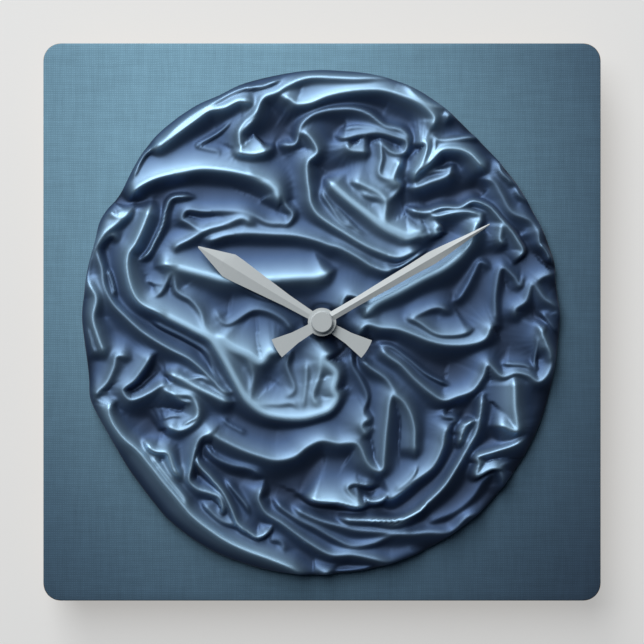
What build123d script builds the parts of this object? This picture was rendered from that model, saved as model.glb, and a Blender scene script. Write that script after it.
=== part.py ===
from build123d import *
from math import atan2, cos, pi, radians, sin
import os

# A square wall clock with a draped satin face, its two hands and its quartz movement.
# Row frame: X to the right as the clock is read, Z up, Y towards the wall, all in millimetres.
# The origin is on the wall, on the hands' axis. A depth is a distance in front of the wall, so y = -depth.
# Outlines are drawn as the clock is read, x to the right and z up, and angles in them run anticlockwise.

# ---------------------------------------------------------------- face
board_side = 273.0
board_corner_radius = 8.5
board_thickness = 4.0
linen_thickness = 0.4
drape_width = 234.6
drape_height = 246.0
drape_relief = 10.8  # from the linen to the tops of the folds
drape_edge_round = 5.0
drape_turn_under = 6.0  # satin outside the wadding all round
wadding_thickness = 4.0
satin_under_washer = 0.8
drape_well_slope = 10.0  # how far the pinched centre spreads out before the folds are at full height

# ---------------------------------------------------------------- hands, drawn pointing up
hour_hand_angle = 301.3  # clockwise from twelve
minute_hand_angle = 59.75
hand_sheet = 0.5
hand_ridge = 0.7  # how far the centre crease stands above the blade's edges
hand_boss_radius = 6.8
hour_blade = [(5.5, 2.1), (20.0, 2.95), (48.0, 5.85), (52.5, 6.15), (56.0, 5.0), (70.0, 0.35)]
minute_blade = [
    (5.5, 2.2),
    (20.0, 2.15),
    (36.0, 2.6),
    (50.0, 2.8),
    (61.0, 3.25),
    (68.0, 2.7),
    (80.0, 1.45),
    (93.5, 0.3),
]
tail_neck_half = 2.4
tail_middle = (15.0, 2.95)  # distance from the axis, half width
tail_end_radius = 25.7
tail_end_half = 4.95
hour_pipe_over_hand = 0.5
hand_gap = 2.0  # between the hour hand's sheet and the minute hand's
hour_hand_over_folds = 0.6
collet_wall = 1.0
collet_shoulder = 0.5
hour_collet_length = 1.8
cap_nut_radius = 5.2
cap_nut_height = 2.8
cap_nut_chamfer = 0.5
cap_nut_roof = 0.9

# ---------------------------------------------------------------- clearances shared by many pieces
running_gap = 0.05  # radial, between a turning shaft and its hole
end_play = 0.2  # along an axis, between pieces that turn past each other
wheel_gap = 0.6  # between a wheel's tips and anything that stands beside it

# ---------------------------------------------------------------- battery, an AA cell lying across the case
battery_diameter = 14.5
battery_length = 49.5  # without its button
battery_button_radius = 2.7
battery_button_height = 1.0
battery_jacket = 0.25
battery_seal_height = 0.8
battery_bare_end = 0.4
battery_sink = 0.4  # below the back of the case
bay_gap = 0.1
contact_sheet = 0.3
contact_reach = 1.1  # how far a battery contact bows out from the bay's end wall
contact_half_width = 3.6
contact_half_depth = 3.0
contact_crest_half = 1.0
contact_foot = 0.6  # the flat at each end of the leaf
contact_gap = 0.05  # between the leaf's crest and the cell

# ---------------------------------------------------------------- movement case
case_wall = 1.0
cover_thickness = 1.2
case_corner_radius = 3.0
gasket_outer_radius = 15.0
gasket_thickness = 1.0
peg_radius = 1.1
peg_length = 5.0
peg_boss_wall = 0.9
peg_socket_gap = 0.4  # beyond a peg's end
bearing_wall = 0.8
bearing_height = 0.8
hanger_width = 19.0
hanger_foot = 0.8  # between the case's top edge and the keyhole
hanger_hole_radius = 4.0
hanger_slot_width = 3.8
hanger_slot_rise = 3.6
hanger_wall = 2.8
hanger_shoulder_radius = 7.5

# ---------------------------------------------------------------- threaded bush and its fastenings
bush_bore_gap = 0.08
bush_radius = 3.95
bush_flange_radius = 6.0
bush_flange_thickness = 1.0
thread_pitch = 0.75
thread_depth = 0.35
thread_beyond_nut = 0.9
board_hole_gap = 0.2
nut_across_flats = 11.0
nut_thickness = 2.5
nut_thread_gap = 0.05
washer_radius = 6.25
washer_thickness = 0.6

# ---------------------------------------------------------------- wheels, with the arbors they share
leaf_share = 0.40  # a leaf's or tooth's width on the pitch circle, as a share of half a pitch
tooth_share = 0.44
leaf_addendum = 0.70  # in modules
tooth_addendum = 0.80
dedendum = 1.20
seconds_teeth = 40
seconds_pinion_leaves = 8
step_teeth = 48  # the wheel that the motor steps round
step_pinion_leaves = 8
rotor_leaves = 8
third_teeth = 60
third_pinion_leaves = 8
centre_teeth = 64
minute_leaves = 12
transfer_teeth = 36
transfer_leaves = 10
hour_teeth = 40
setting_teeth = 18

third_distance = 10.5  # from the hands' axis to the third arbor
third_direction = 180.0
step_direction = 60.0
rotor_distance = 7.28  # from the step arbor
rotor_direction = 30.0
transfer_direction = -20.0
setting_direction = 20.0  # from the transfer arbor

wheel_thickness = 0.8
pinion_overlap = 0.3  # how far a pinion runs past the wheel it drives, each side
arbor_radius = 0.6
pivot_radius = 0.35
pivot_length = 1.0  # into its bearing
pivot_end_gap = 0.1
centre_hub_radius = 3.0
clutch_flange_radius = 2.4
clutch_spring_radius = 2.8
clutch_spring_thickness = 0.3
seconds_arbor_radius = 0.5
minute_pipe_radius = 1.6
leaf_root_over_pipe = 0.08  # the minute pinion's roots stand this far above the pipe
hour_pipe_radius = 2.5
hour_hub_radius = 3.6
bridge_thickness = 0.8
bridge_post_radius = 1.8
bridge_peg_radius = 0.9

# ---------------------------------------------------------------- setting knob
knob_thickness = 2.6
knob_flutes = 20
knob_flute_radius = 0.45
knob_sink = 0.5
knob_web = 0.8  # the knob's solid end, behind its shaft
knob_well_gap = 0.7
setting_shaft_radius = 1.5
setting_pivot_radius = 1.0

# ---------------------------------------------------------------- stepping motor and circuit
magnet_radius = 2.0
magnet_height = 2.4
stator_air_gap = 0.4
stator_thickness = 0.8
stator_ring_wall = 1.8
stator_arm_width = 3.4
lug_width = 4.0
core_thickness = 0.8
core_width = 2.2
coil_radius = 3.6
bobbin_flange_side = 8.0
bobbin_flange_thickness = 1.0
bobbin_tube_radius = 1.7
coil_length = 24.0
bobbin_lug_gap = 0.4
motor_screw_radius = 0.55
motor_screw_head_radius = 1.3
motor_screw_head_height = 0.7
motor_post_radius = 1.9
circuit_width = 7.2
circuit_thickness = 0.8
circuit_edge_gap = 0.5
chip_radius = 2.1
chip_height = 0.9
crystal_radius = 1.0
crystal_length = 6.0
circuit_post_radius = 1.4
circuit_post_edge = 1.6  # from the circuit board's edges to its posts' middles


# ---------------------------------------------------------------- drawing aids
def slab(outline, rear, front):
    """An outline made solid between two depths."""
    return extrude(Plane.XZ.offset(rear) * outline, amount=front - rear)


def rod(radius, rear, front, place=(0, 0)):
    return slab(Pos(*place) * Circle(radius), rear, front)


def tube(outer, inner, rear, front, place=(0, 0)):
    return rod(outer, rear, front, place) - rod(inner, rear, front, place)


def block(left, right, bottom, top, rear, front):
    outline = Pos((left + right) / 2, (bottom + top) / 2) * Rectangle(right - left, top - bottom)
    return slab(outline, rear, front)


def polar(radius, angle):
    return (radius * cos(angle), radius * sin(angle))


def beside(place, distance, direction):
    """The point at a distance from a place, in a direction in degrees."""
    step = polar(distance, radians(direction))
    return (place[0] + step[0], place[1] + step[1])


def outline_of(points):
    return make_face(Polyline(*points, close=True))


def mirrored_outline(half):
    """A closed outline from (height, half width) pairs, the same on both sides of the upright."""
    right = [(w, h) for h, w in half]
    left = [(-w, h) for h, w in reversed(half)]
    return outline_of(right + left)


# ---------------------------------------------------------------- gear teeth
def pitch_radius(teeth, module):
    return teeth * module / 2


def gear(teeth, module, tooth_at, rear, front, place, share=tooth_share, addendum=tooth_addendum):
    """Straight-flanked teeth with round tops. tooth_at is the angle of one tooth's middle, in radians."""
    pitch = pitch_radius(teeth, module)
    root = pitch - dedendum * module
    half = share * pi / teeth
    edges = []
    for k in range(teeth):
        middle = tooth_at + 2 * pi * k / teeth
        after = middle + 2 * pi / teeth
        foot, rise = polar(root, middle - half), polar(pitch, middle - half)
        fall, heel = polar(pitch, middle + half), polar(root, middle + half)
        edges.append(Line(foot, rise))
        edges.append(ThreePointArc(rise, polar(pitch + addendum * module, middle), fall))
        edges.append(Line(fall, heel))
        edges.append(ThreePointArc(heel, polar(root, middle + pi / teeth), polar(root, after - half)))
    return slab(Pos(*place) * Face(Wire(edges)), rear, front)


def pinion(leaves, module, tooth_at, rear, front, place):
    return gear(leaves, module, tooth_at, rear, front, place, leaf_share, leaf_addendum)


def meshed(tooth_at, teeth, place, other_teeth, other_place):
    """Where the other gear has a tooth, so that its teeth stand in this gear's gaps at rest."""
    direction = atan2(other_place[1] - place[1], other_place[0] - place[0])
    ahead = (tooth_at - direction) % (2 * pi / teeth)
    return direction + pi - ahead * teeth / other_teeth + pi / other_teeth


def module_for(distance, teeth, other_teeth):
    return 2 * distance / (teeth + other_teeth)


def tip_radius(teeth, module):
    return pitch_radius(teeth, module) + tooth_addendum * module


# ---------------------------------------------------------------- where the arbors stand
axis = (0.0, 0.0)
third_module = module_for(third_distance, third_teeth, seconds_pinion_leaves)
centre_module = module_for(third_distance, centre_teeth, third_pinion_leaves)
third_place = beside(axis, third_distance, third_direction)

# The step arbor passes just outside the centre wheel.
step_distance = tip_radius(centre_teeth, centre_module) + arbor_radius + wheel_gap
seconds_module = module_for(step_distance, seconds_teeth, step_pinion_leaves)
step_module = module_for(rotor_distance, step_teeth, rotor_leaves)
step_place = beside(axis, step_distance, step_direction)
rotor_place = beside(step_place, rotor_distance, rotor_direction)

# The minute pinion is cut round the minute pipe, and the transfer and setting gears follow from it.
transfer_module = (minute_pipe_radius + leaf_root_over_pipe) / (minute_leaves / 2 - dedendum)
transfer_distance = transfer_module * (transfer_teeth + minute_leaves) / 2
hour_module = module_for(transfer_distance, hour_teeth, transfer_leaves)
transfer_place = beside(axis, transfer_distance, transfer_direction)
setting_distance = transfer_module * (transfer_teeth + setting_teeth) / 2
setting_place = beside(transfer_place, setting_distance, setting_direction)

# The knob fills the room beside the seconds wheel.
setting_reach = (setting_place[0] ** 2 + setting_place[1] ** 2) ** 0.5
knob_room = setting_reach - tip_radius(seconds_teeth, seconds_module)
knob_well_outer = knob_room - wheel_gap
knob_well_radius = knob_well_outer - bearing_wall
knob_radius = knob_well_radius - knob_well_gap

# One tooth of each gear, found along the train so that every pair is in mesh at rest.
step_pinion_tooth = 0.0
seconds_tooth = meshed(step_pinion_tooth, step_pinion_leaves, step_place, seconds_teeth, axis)
step_tooth = 0.0
rotor_tooth = meshed(step_tooth, step_teeth, step_place, rotor_leaves, rotor_place)
seconds_pinion_tooth = 0.0
third_tooth = meshed(seconds_pinion_tooth, seconds_pinion_leaves, axis, third_teeth, third_place)
third_pinion_tooth = 0.0
centre_tooth = meshed(third_pinion_tooth, third_pinion_leaves, third_place, centre_teeth, axis)
minute_tooth = 0.0
transfer_tooth = meshed(minute_tooth, minute_leaves, axis, transfer_teeth, transfer_place)
transfer_pinion_tooth = 0.0
hour_tooth = meshed(transfer_pinion_tooth, transfer_leaves, transfer_place, hour_teeth, axis)
setting_tooth = meshed(transfer_tooth, transfer_teeth, transfer_place, setting_teeth, setting_place)

# ---------------------------------------------------------------- depths, stacked from the wall forwards
cover_front = cover_thickness
bearing_front = cover_front + bearing_height
pivot_rear = bearing_front - pivot_length
train_rear = bearing_front + end_play

seconds_rear = train_rear + pinion_overlap
seconds_front = seconds_rear + wheel_thickness
step_pinion_front = seconds_front + pinion_overlap
step_rear = step_pinion_front + wheel_gap
step_front = step_rear + wheel_thickness
rotor_pinion_rear = step_rear - pinion_overlap
rotor_pinion_front = step_front + pinion_overlap
magnet_rear = rotor_pinion_front + end_play
magnet_front = magnet_rear + magnet_height
third_rear = step_front + wheel_gap
third_front = third_rear + wheel_thickness
seconds_pinion_rear = third_rear - pinion_overlap
seconds_pinion_front = third_front + pinion_overlap
clutch_flange_rear = seconds_pinion_front + end_play
clutch_flange_front = clutch_flange_rear + 0.25
centre_hub_rear = clutch_flange_front + 0.02
centre_rear = centre_hub_rear + end_play
centre_front = centre_rear + wheel_thickness
centre_hub_front = centre_front + 0.3
clutch_spring_rear = centre_hub_front + 0.02
clutch_spring_front = clutch_spring_rear + clutch_spring_thickness
third_pinion_rear = centre_rear - pinion_overlap
third_pinion_front = centre_front + pinion_overlap
bridge_rear = clutch_spring_front + end_play
bridge_front = bridge_rear + bridge_thickness
transfer_rear = bridge_front + pinion_overlap + end_play
transfer_front = transfer_rear + wheel_thickness
minute_pinion_rear = transfer_rear - pinion_overlap
minute_pinion_front = transfer_front + pinion_overlap
hour_rear = minute_pinion_front + pinion_overlap + end_play
hour_front = hour_rear + wheel_thickness
transfer_pinion_front = hour_front + pinion_overlap
hour_hub_front = hour_front + 0.9
bush_flange_rear = hour_hub_front + end_play
bush_flange_front = bush_flange_rear + bush_flange_thickness

battery_axis_depth = battery_sink + battery_diameter / 2
front_wall_rear = max(bush_flange_front, battery_sink + battery_diameter + bay_gap)
case_front = front_wall_rear + case_wall

gasket_front = case_front + gasket_thickness
board_front = gasket_front + board_thickness
linen_front = board_front + linen_thickness
wadding_front = linen_front + wadding_thickness
washer_rear = wadding_front + satin_under_washer
washer_front = washer_rear + washer_thickness
nut_front = washer_front + nut_thickness
bush_front = nut_front + thread_beyond_nut
folds_front = max(linen_front + drape_relief, bush_front + end_play)
hour_hand_rear = folds_front + hour_hand_over_folds
hour_hand_front = hour_hand_rear + hand_sheet
hour_pipe_front = hour_hand_front + hour_pipe_over_hand
minute_hand_rear = hour_hand_front + hand_gap
minute_hand_front = minute_hand_rear + hand_sheet
cap_nut_front = minute_hand_front + cap_nut_height
minute_pipe_front = cap_nut_front - cap_nut_roof

# ---------------------------------------------------------------- edges of the bay, the case and the bridge
contact_room = contact_sheet + contact_reach
battery_left = -(battery_length + battery_button_height) / 2
battery_button_left = battery_left + battery_length
battery_right = battery_button_left + battery_button_height
bay_left = battery_left - contact_room
bay_right = battery_right + contact_room

setting_tip = tip_radius(setting_teeth, transfer_module)
bridge_left = third_place[0] - tip_radius(third_teeth, third_module) - bridge_peg_radius - 1.0
bridge_right = setting_place[0] + setting_tip + bridge_post_radius
bridge_step = setting_place[1] + setting_tip + wheel_gap + 2 * bridge_post_radius
stator_ring_radius = magnet_radius + stator_air_gap + stator_ring_wall
bridge_shoulder = rotor_place[0] + stator_ring_radius
bridge_top = rotor_place[1] + stator_ring_radius

peg_boss_radius = peg_radius + running_gap + peg_boss_wall
peg_offset = peg_boss_radius - case_wall / 2  # the bosses run into the walls
peg_boss_reach = peg_offset + peg_boss_radius
inside_left = min(bay_left, bridge_left - wheel_gap - peg_boss_reach)
core_left = inside_left + peg_boss_reach + wheel_gap
coil_left = core_left + lug_width + bobbin_lug_gap
coil_right = coil_left + coil_length
core_right = max(
    coil_right + bobbin_lug_gap + lug_width,
    rotor_place[0] + stator_ring_radius + lug_width / 2,
)
inside_right = max(
    bay_right,
    bridge_right + wheel_gap + peg_boss_reach,
    core_right + wheel_gap + circuit_width + circuit_edge_gap,
)

lowest_tip = min(
    -tip_radius(centre_teeth, centre_module),
    -tip_radius(seconds_teeth, seconds_module),
    third_place[1] - tip_radius(third_teeth, third_module),
    transfer_place[1] - tip_radius(transfer_teeth, transfer_module),
    setting_place[1] - knob_well_outer,
)
bay_wall_top = lowest_tip - wheel_gap
bay_top = bay_wall_top - case_wall
battery_axis_height = bay_top - bay_gap - battery_diameter / 2
bay_bottom = battery_axis_height - battery_diameter / 2 - bay_gap
coil_height = bridge_top + wheel_gap + bobbin_flange_side / 2
inside_top = coil_height + bobbin_flange_side / 2 + wheel_gap
case_left = min(bay_left, inside_left) - case_wall
case_right = max(bay_right, inside_right) + case_wall
case_bottom = bay_bottom - case_wall
case_top = inside_top + case_wall
bridge_bottom = bay_wall_top + wheel_gap

stator_rear = magnet_rear + (magnet_height - stator_thickness) / 2
stator_front = stator_rear + stator_thickness
core_rear = stator_rear - core_thickness
coil_axis_depth = core_rear + core_thickness / 2
motor_screws = [(core_left + lug_width / 2, coil_height), (core_right - lug_width / 2, coil_height)]

peg_places = [
    (inside_left + peg_offset, inside_top - peg_offset),
    (inside_right - peg_offset, inside_top - peg_offset),
    (inside_left + peg_offset, bay_wall_top + peg_offset),
    (inside_right - peg_offset, bay_wall_top + peg_offset),
]
bridge_pegs = [
    (bridge_left + bridge_post_radius, bridge_top - bridge_post_radius),
    (bridge_left + bridge_post_radius, bridge_bottom + bridge_post_radius),
    (bridge_right - bridge_post_radius, bridge_bottom + bridge_post_radius),
    (bridge_right - bridge_post_radius, bridge_step - bridge_post_radius),
]

circuit_right = inside_right - circuit_edge_gap
circuit_left = circuit_right - circuit_width
circuit_top = inside_top - peg_boss_reach - wheel_gap
circuit_bottom = bridge_step + wheel_gap
circuit_rear = bridge_front + wheel_gap
circuit_front = circuit_rear + circuit_thickness
circuit_pegs = [
    (circuit_right - circuit_post_edge, circuit_bottom + circuit_post_edge),
    (circuit_right - circuit_post_edge, circuit_top - circuit_post_edge),
]


# ---------------------------------------------------------------- face
def face_outline():
    return RectangleRounded(board_side, board_side, board_corner_radius)


def face_board():
    board = slab(face_outline(), gasket_front, board_front)
    return board - rod(bush_radius + board_hole_gap, gasket_front, board_front)


def linen_facing():
    linen = slab(face_outline(), board_front, linen_front)
    return linen - rod(bush_radius + board_hole_gap, board_front, linen_front)


def wadding_outline():
    return Ellipse(drape_width / 2 - drape_turn_under, drape_height / 2 - drape_turn_under)


def wadding_disc():
    disc = slab(wadding_outline(), linen_front, wadding_front)
    return disc - rod(bush_radius + board_hole_gap, linen_front, wadding_front)


def satin_drape():
    """The satin's outer shape: rounded at the rim, pinched to the washer, hollow over the wadding."""
    body = slab(Ellipse(drape_width / 2, drape_height / 2), linen_front, folds_front)
    rim = body.faces().sort_by(Axis.Y)[0].edges()
    body = fillet(rim, drape_edge_round)
    well_floor = washer_radius + 0.4
    well = loft(
        [
            Plane.XZ.offset(washer_rear) * Circle(well_floor),
            Plane.XZ.offset(folds_front) * Circle(well_floor + drape_well_slope),
        ]
    )
    body = body - well - slab(wadding_outline(), linen_front, wadding_front)
    return body - rod(bush_radius + board_hole_gap, wadding_front, washer_rear)


# ---------------------------------------------------------------- bush, gasket, washer, nut
def thread_grooves(radius, rear, front, depth):
    """V-shaped rings at the thread's pitch, one cutting solid each."""
    half = thread_pitch * 0.42
    grooves = []
    count = int((front - rear) / thread_pitch) - 1
    for k in range(count):
        middle = rear + (k + 1) * thread_pitch
        groove = Polyline(
            (radius + 0.1, -(middle - half), 0),
            (radius - depth, -middle, 0),
            (radius + 0.1, -(middle + half), 0),
            close=True,
        )
        grooves.append(revolve(make_face(groove), Axis.Y, 360))
    return grooves


def threaded_bush():
    body = rod(bush_radius, front_wall_rear, bush_front)
    body += rod(bush_flange_radius, bush_flange_rear, front_wall_rear)
    for groove in thread_grooves(bush_radius, case_front, bush_front, thread_depth):
        body -= groove
    return body - rod(hour_pipe_radius + bush_bore_gap, bush_flange_rear, bush_front)


def rubber_gasket():
    return tube(gasket_outer_radius, bush_radius + board_hole_gap, case_front, gasket_front)


def washer():
    return tube(washer_radius, bush_radius + board_hole_gap, washer_rear, washer_front)


def hex_nut():
    nut = slab(RegularPolygon(nut_across_flats / 2, 6, major_radius=False), washer_front, nut_front)
    return nut - rod(bush_radius + nut_thread_gap, washer_front, nut_front)


# ---------------------------------------------------------------- hands
def turned(solid, clockwise):
    """A hand drawn pointing at twelve, turned clockwise as the clock is read."""
    return Rot(0, clockwise, 0) * solid


def creased_blade(stations, rear):
    """A sheet folded along its middle: the edges lie flat and the crease stands forward."""
    sections = []
    for height, half in stations:
        ridge = hand_ridge * min(1.0, half / stations[-2][1])
        edge, front = -rear, -(rear + hand_sheet)
        section = Polyline(
            (-half, edge, height),
            (0, edge - ridge, height),
            (half, edge, height),
            (half, front, height),
            (0, front - ridge, height),
            (-half, front, height),
            close=True,
        )
        sections.append(make_face(section))
    return loft(sections, ruled=True)


def hand_tail(rear, front):
    """The counterweight: it widens to an end rounded about the axis."""
    middle, middle_half = tail_middle
    corner = -((tail_end_radius**2 - tail_end_half**2) ** 0.5)
    side = [
        (tail_neck_half, 0),
        (tail_neck_half, -hand_boss_radius),
        (middle_half, -middle),
        (tail_end_half, corner),
    ]
    other_side = [(-x, z) for x, z in side]
    edges = [
        Line(other_side[0], side[0]),
        Polyline(*side),
        ThreePointArc(side[-1], (0, -tail_end_radius), other_side[-1]),
        Polyline(*reversed(other_side)),
    ]
    return slab(make_face(edges), rear, front)


def hand(stations, rear, front, pipe_radius, clockwise):
    body = rod(hand_boss_radius, rear, front) + hand_tail(rear, front) + creased_blade(stations, rear)
    body -= rod(pipe_radius + collet_wall, rear - hand_ridge, front + 2 * hand_ridge)
    return turned(body, clockwise)


def hour_hand():
    return hand(hour_blade, hour_hand_rear, hour_hand_front, hour_pipe_radius, hour_hand_angle)


def minute_hand():
    return hand(minute_blade, minute_hand_rear, minute_hand_front, minute_pipe_radius, minute_hand_angle)


def collet(pipe_radius, sheet_rear, sheet_front, length):
    """The turned brass ring that grips the pipe: a sleeve through the sheet and a shoulder behind it."""
    sleeve_radius = pipe_radius + collet_wall
    shoulder_radius = sleeve_radius + collet_shoulder
    sleeve = tube(sleeve_radius, pipe_radius, sheet_rear, sheet_front)
    return sleeve + tube(shoulder_radius, pipe_radius, sheet_rear - length, sheet_rear)


def hour_collet():
    return collet(hour_pipe_radius, hour_hand_rear, hour_hand_front, hour_collet_length)


def minute_collet():
    length = minute_hand_rear - hour_pipe_front - end_play
    return collet(minute_pipe_radius, minute_hand_rear, minute_hand_front, length)


def cap_nut():
    nut = rod(cap_nut_radius, minute_hand_front, cap_nut_front)
    nut = chamfer(nut.faces().sort_by(Axis.Y)[0].edges(), cap_nut_chamfer)
    return nut - rod(minute_pipe_radius, minute_hand_front, minute_pipe_front)


# ---------------------------------------------------------------- hour, minute and setting wheels
def hour_wheel():
    wheel = gear(hour_teeth, hour_module, hour_tooth, hour_rear, hour_front, axis)
    wheel += rod(hour_hub_radius, hour_rear, hour_hub_front)
    wheel += rod(hour_pipe_radius, hour_front, hour_pipe_front)
    return wheel - rod(minute_pipe_radius + running_gap, hour_rear, hour_pipe_front)


def minute_pipe():
    pipe = rod(minute_pipe_radius, clutch_flange_rear, minute_pipe_front)
    pipe += rod(clutch_flange_radius, clutch_flange_rear, clutch_flange_front)
    pipe += pinion(
        minute_leaves, transfer_module, minute_tooth, minute_pinion_rear, minute_pinion_front, axis
    )
    return pipe - rod(seconds_arbor_radius + running_gap, clutch_flange_rear, minute_pipe_front)


def clutch_spring():
    spring = tube(clutch_spring_radius, minute_pipe_radius, clutch_spring_rear, clutch_spring_front)
    slot = clutch_spring_radius - minute_pipe_radius
    for k in range(3):
        place = polar(clutch_spring_radius, 2 * pi * k / 3)
        spring -= rod(slot * 0.45, clutch_spring_rear, clutch_spring_front, place)
    return spring


def transfer_wheel():
    place = transfer_place
    wheel = gear(transfer_teeth, transfer_module, transfer_tooth, transfer_rear, transfer_front, place)
    wheel += pinion(
        transfer_leaves, hour_module, transfer_pinion_tooth, transfer_front, transfer_pinion_front, place
    )
    return wheel + rod(pivot_radius, bridge_rear + pivot_end_gap, front_wall_rear - pivot_end_gap, place)


def setting_shaft():
    place = setting_place
    shaft = rod(setting_shaft_radius, knob_sink + knob_web, transfer_front, place)
    shaft += gear(setting_teeth, transfer_module, setting_tooth, transfer_rear, transfer_front, place)
    return shaft + rod(setting_pivot_radius, transfer_front, front_wall_rear - pivot_end_gap, place)


def setting_knob():
    front = knob_sink + knob_thickness
    knob = rod(knob_radius, knob_sink, front, setting_place)
    for k in range(knob_flutes):
        flute = beside(setting_place, knob_radius, 360.0 * k / knob_flutes)
        knob -= rod(knob_flute_radius, knob_sink, front, flute)
    return knob - rod(setting_shaft_radius, knob_sink + knob_web, front, setting_place)


# ---------------------------------------------------------------- running train
def pivoted_arbor(place, rear, front):
    """An arbor between the cover's bearing and the bridge, with a thinner pivot at each end."""
    pivots = rod(pivot_radius, pivot_rear, bridge_front - pivot_end_gap, place)
    return rod(arbor_radius, rear, front, place) + pivots


def seconds_wheel():
    wheel = gear(seconds_teeth, seconds_module, seconds_tooth, seconds_rear, seconds_front, axis)
    wheel += pinion(
        seconds_pinion_leaves, third_module, seconds_pinion_tooth, seconds_front, seconds_pinion_front, axis
    )
    wheel += rod(arbor_radius, train_rear, seconds_rear)
    return wheel - rod(seconds_arbor_radius, train_rear, seconds_pinion_front)


def seconds_arbor():
    pivot = rod(pivot_radius, pivot_rear, train_rear)
    return pivot + rod(seconds_arbor_radius, train_rear, hour_pipe_front)


def third_wheel():
    wheel = gear(third_teeth, third_module, third_tooth, third_rear, third_front, third_place)
    wheel += pinion(
        third_pinion_leaves, centre_module, third_pinion_tooth, third_front, third_pinion_front, third_place
    )
    return wheel + pivoted_arbor(third_place, train_rear, bridge_rear - end_play)


def centre_wheel():
    wheel = gear(centre_teeth, centre_module, centre_tooth, centre_rear, centre_front, axis)
    wheel += rod(centre_hub_radius, centre_hub_rear, centre_hub_front)
    return wheel - rod(minute_pipe_radius + running_gap, centre_hub_rear, centre_hub_front)


def step_wheel():
    wheel = gear(step_teeth, step_module, step_tooth, step_rear, step_front, step_place)
    wheel += pinion(
        step_pinion_leaves, seconds_module, step_pinion_tooth, train_rear, step_pinion_front, step_place
    )
    return wheel + pivoted_arbor(step_place, train_rear, bridge_rear - end_play)


def rotor_pinion():
    leaves = pinion(
        rotor_leaves, step_module, rotor_tooth, rotor_pinion_rear, rotor_pinion_front, rotor_place
    )
    return leaves + pivoted_arbor(rotor_place, train_rear, bridge_rear - end_play)


def rotor_magnet():
    return tube(magnet_radius, arbor_radius, magnet_rear, magnet_front, rotor_place)


# ---------------------------------------------------------------- motor and circuit
def coil_core():
    bottom, top = coil_height - core_width / 2, coil_height + core_width / 2
    bar = block(core_left, core_right, bottom, top, core_rear, stator_rear)
    for place in motor_screws:
        bar += block(
            place[0] - lug_width / 2,
            place[0] + lug_width / 2,
            coil_height - lug_width / 2,
            coil_height + lug_width / 2,
            core_rear,
            stator_rear,
        )
    for place in motor_screws:
        bar -= rod(motor_screw_radius + 0.05, core_rear, stator_rear, place)
    return bar


def stator():
    """One flat yoke: a ring round the rotor, an arm under the coil and a lug up to each end of the core."""
    arm_bottom = rotor_place[1] - stator_arm_width / 2
    arm_top = rotor_place[1] + stator_arm_width / 2
    lug_top = coil_height + lug_width / 2
    plate = block(core_left, core_right, arm_bottom, arm_top, stator_rear, stator_front)
    plate += block(core_left, core_left + lug_width, arm_bottom, lug_top, stator_rear, stator_front)
    plate += block(core_right - lug_width, core_right, arm_bottom, lug_top, stator_rear, stator_front)
    plate += rod(stator_ring_radius, stator_rear, stator_front, rotor_place)
    plate -= rod(magnet_radius + stator_air_gap, stator_rear, stator_front, rotor_place)
    for place in motor_screws:
        plate -= rod(motor_screw_radius + 0.05, stator_rear, stator_front, place)
    return plate


def along_coil(outline, left, right):
    """An outline square to the coil, made solid from left to right."""
    plane = Plane(origin=(left, -coil_axis_depth, coil_height), x_dir=(0, 1, 0), z_dir=(1, 0, 0))
    return extrude(plane * outline, amount=right - left)


def core_hole():
    return along_coil(Rectangle(core_thickness, core_width), coil_left, coil_right)


def coil_bobbin():
    bobbin = along_coil(Circle(bobbin_tube_radius), coil_left, coil_right)
    flange = RectangleRounded(bobbin_flange_side, bobbin_flange_side, 1.2)
    bobbin += along_coil(flange, coil_left, coil_left + bobbin_flange_thickness)
    bobbin += along_coil(flange, coil_right - bobbin_flange_thickness, coil_right)
    return bobbin - core_hole()


def coil_winding():
    left = coil_left + bobbin_flange_thickness
    right = coil_right - bobbin_flange_thickness
    return along_coil(Circle(coil_radius) - Circle(bobbin_tube_radius), left, right)


def motor_screw_set():
    screws = []
    for place in motor_screws:
        screw = rod(motor_screw_radius, core_rear, stator_front + 3.0, place)
        head = rod(motor_screw_head_radius, core_rear - motor_screw_head_height, core_rear, place)
        slot = block(
            place[0] - motor_screw_head_radius,
            place[0] + motor_screw_head_radius,
            place[1] - 0.2,
            place[1] + 0.2,
            core_rear - motor_screw_head_height,
            core_rear - motor_screw_head_height / 2,
        )
        screws.append(screw + head - slot)
    return Compound(children=screws)


def circuit_board():
    board = block(circuit_left, circuit_right, circuit_bottom, circuit_top, circuit_rear, circuit_front)
    for place in circuit_pegs:
        board -= rod(bridge_peg_radius + running_gap, circuit_rear, circuit_front, place)
    return board


def chip():
    place = (circuit_left + chip_radius + 0.3, circuit_bottom + chip_radius + 0.4)
    dome = rod(chip_radius, circuit_rear - chip_height, circuit_rear, place)
    return fillet(dome.faces().sort_by(Axis.Y)[-1].edges(), chip_height * 0.7)


def quartz_crystal():
    """A small round can lying along the circuit board's length."""
    x = circuit_left + crystal_radius + 0.8
    bottom = circuit_top - crystal_length - 1.2
    plane = Plane(origin=(x, -(circuit_rear - crystal_radius), bottom), z_dir=(0, 0, 1))
    can = extrude(plane * Circle(crystal_radius), amount=crystal_length)
    return fillet(can.faces().sort_by(Axis.Z)[-1].edges(), 0.3)


# ---------------------------------------------------------------- battery and its contacts
def along_battery(radius, left, right):
    plane = Plane(origin=(left, -battery_axis_depth, battery_axis_height), z_dir=(1, 0, 0))
    return extrude(plane * Circle(radius), amount=right - left)


def battery_can():
    shoulder = battery_button_left - battery_seal_height
    can = along_battery(battery_diameter / 2 - battery_jacket, battery_left, shoulder)
    return can + along_battery(battery_button_radius, shoulder, battery_right)


def battery_jacket_sleeve():
    radius = battery_diameter / 2
    left, right = battery_left + battery_bare_end, battery_button_left
    sleeve = along_battery(radius, left, right) - along_battery(radius - battery_jacket, left, right)
    return sleeve


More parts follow.
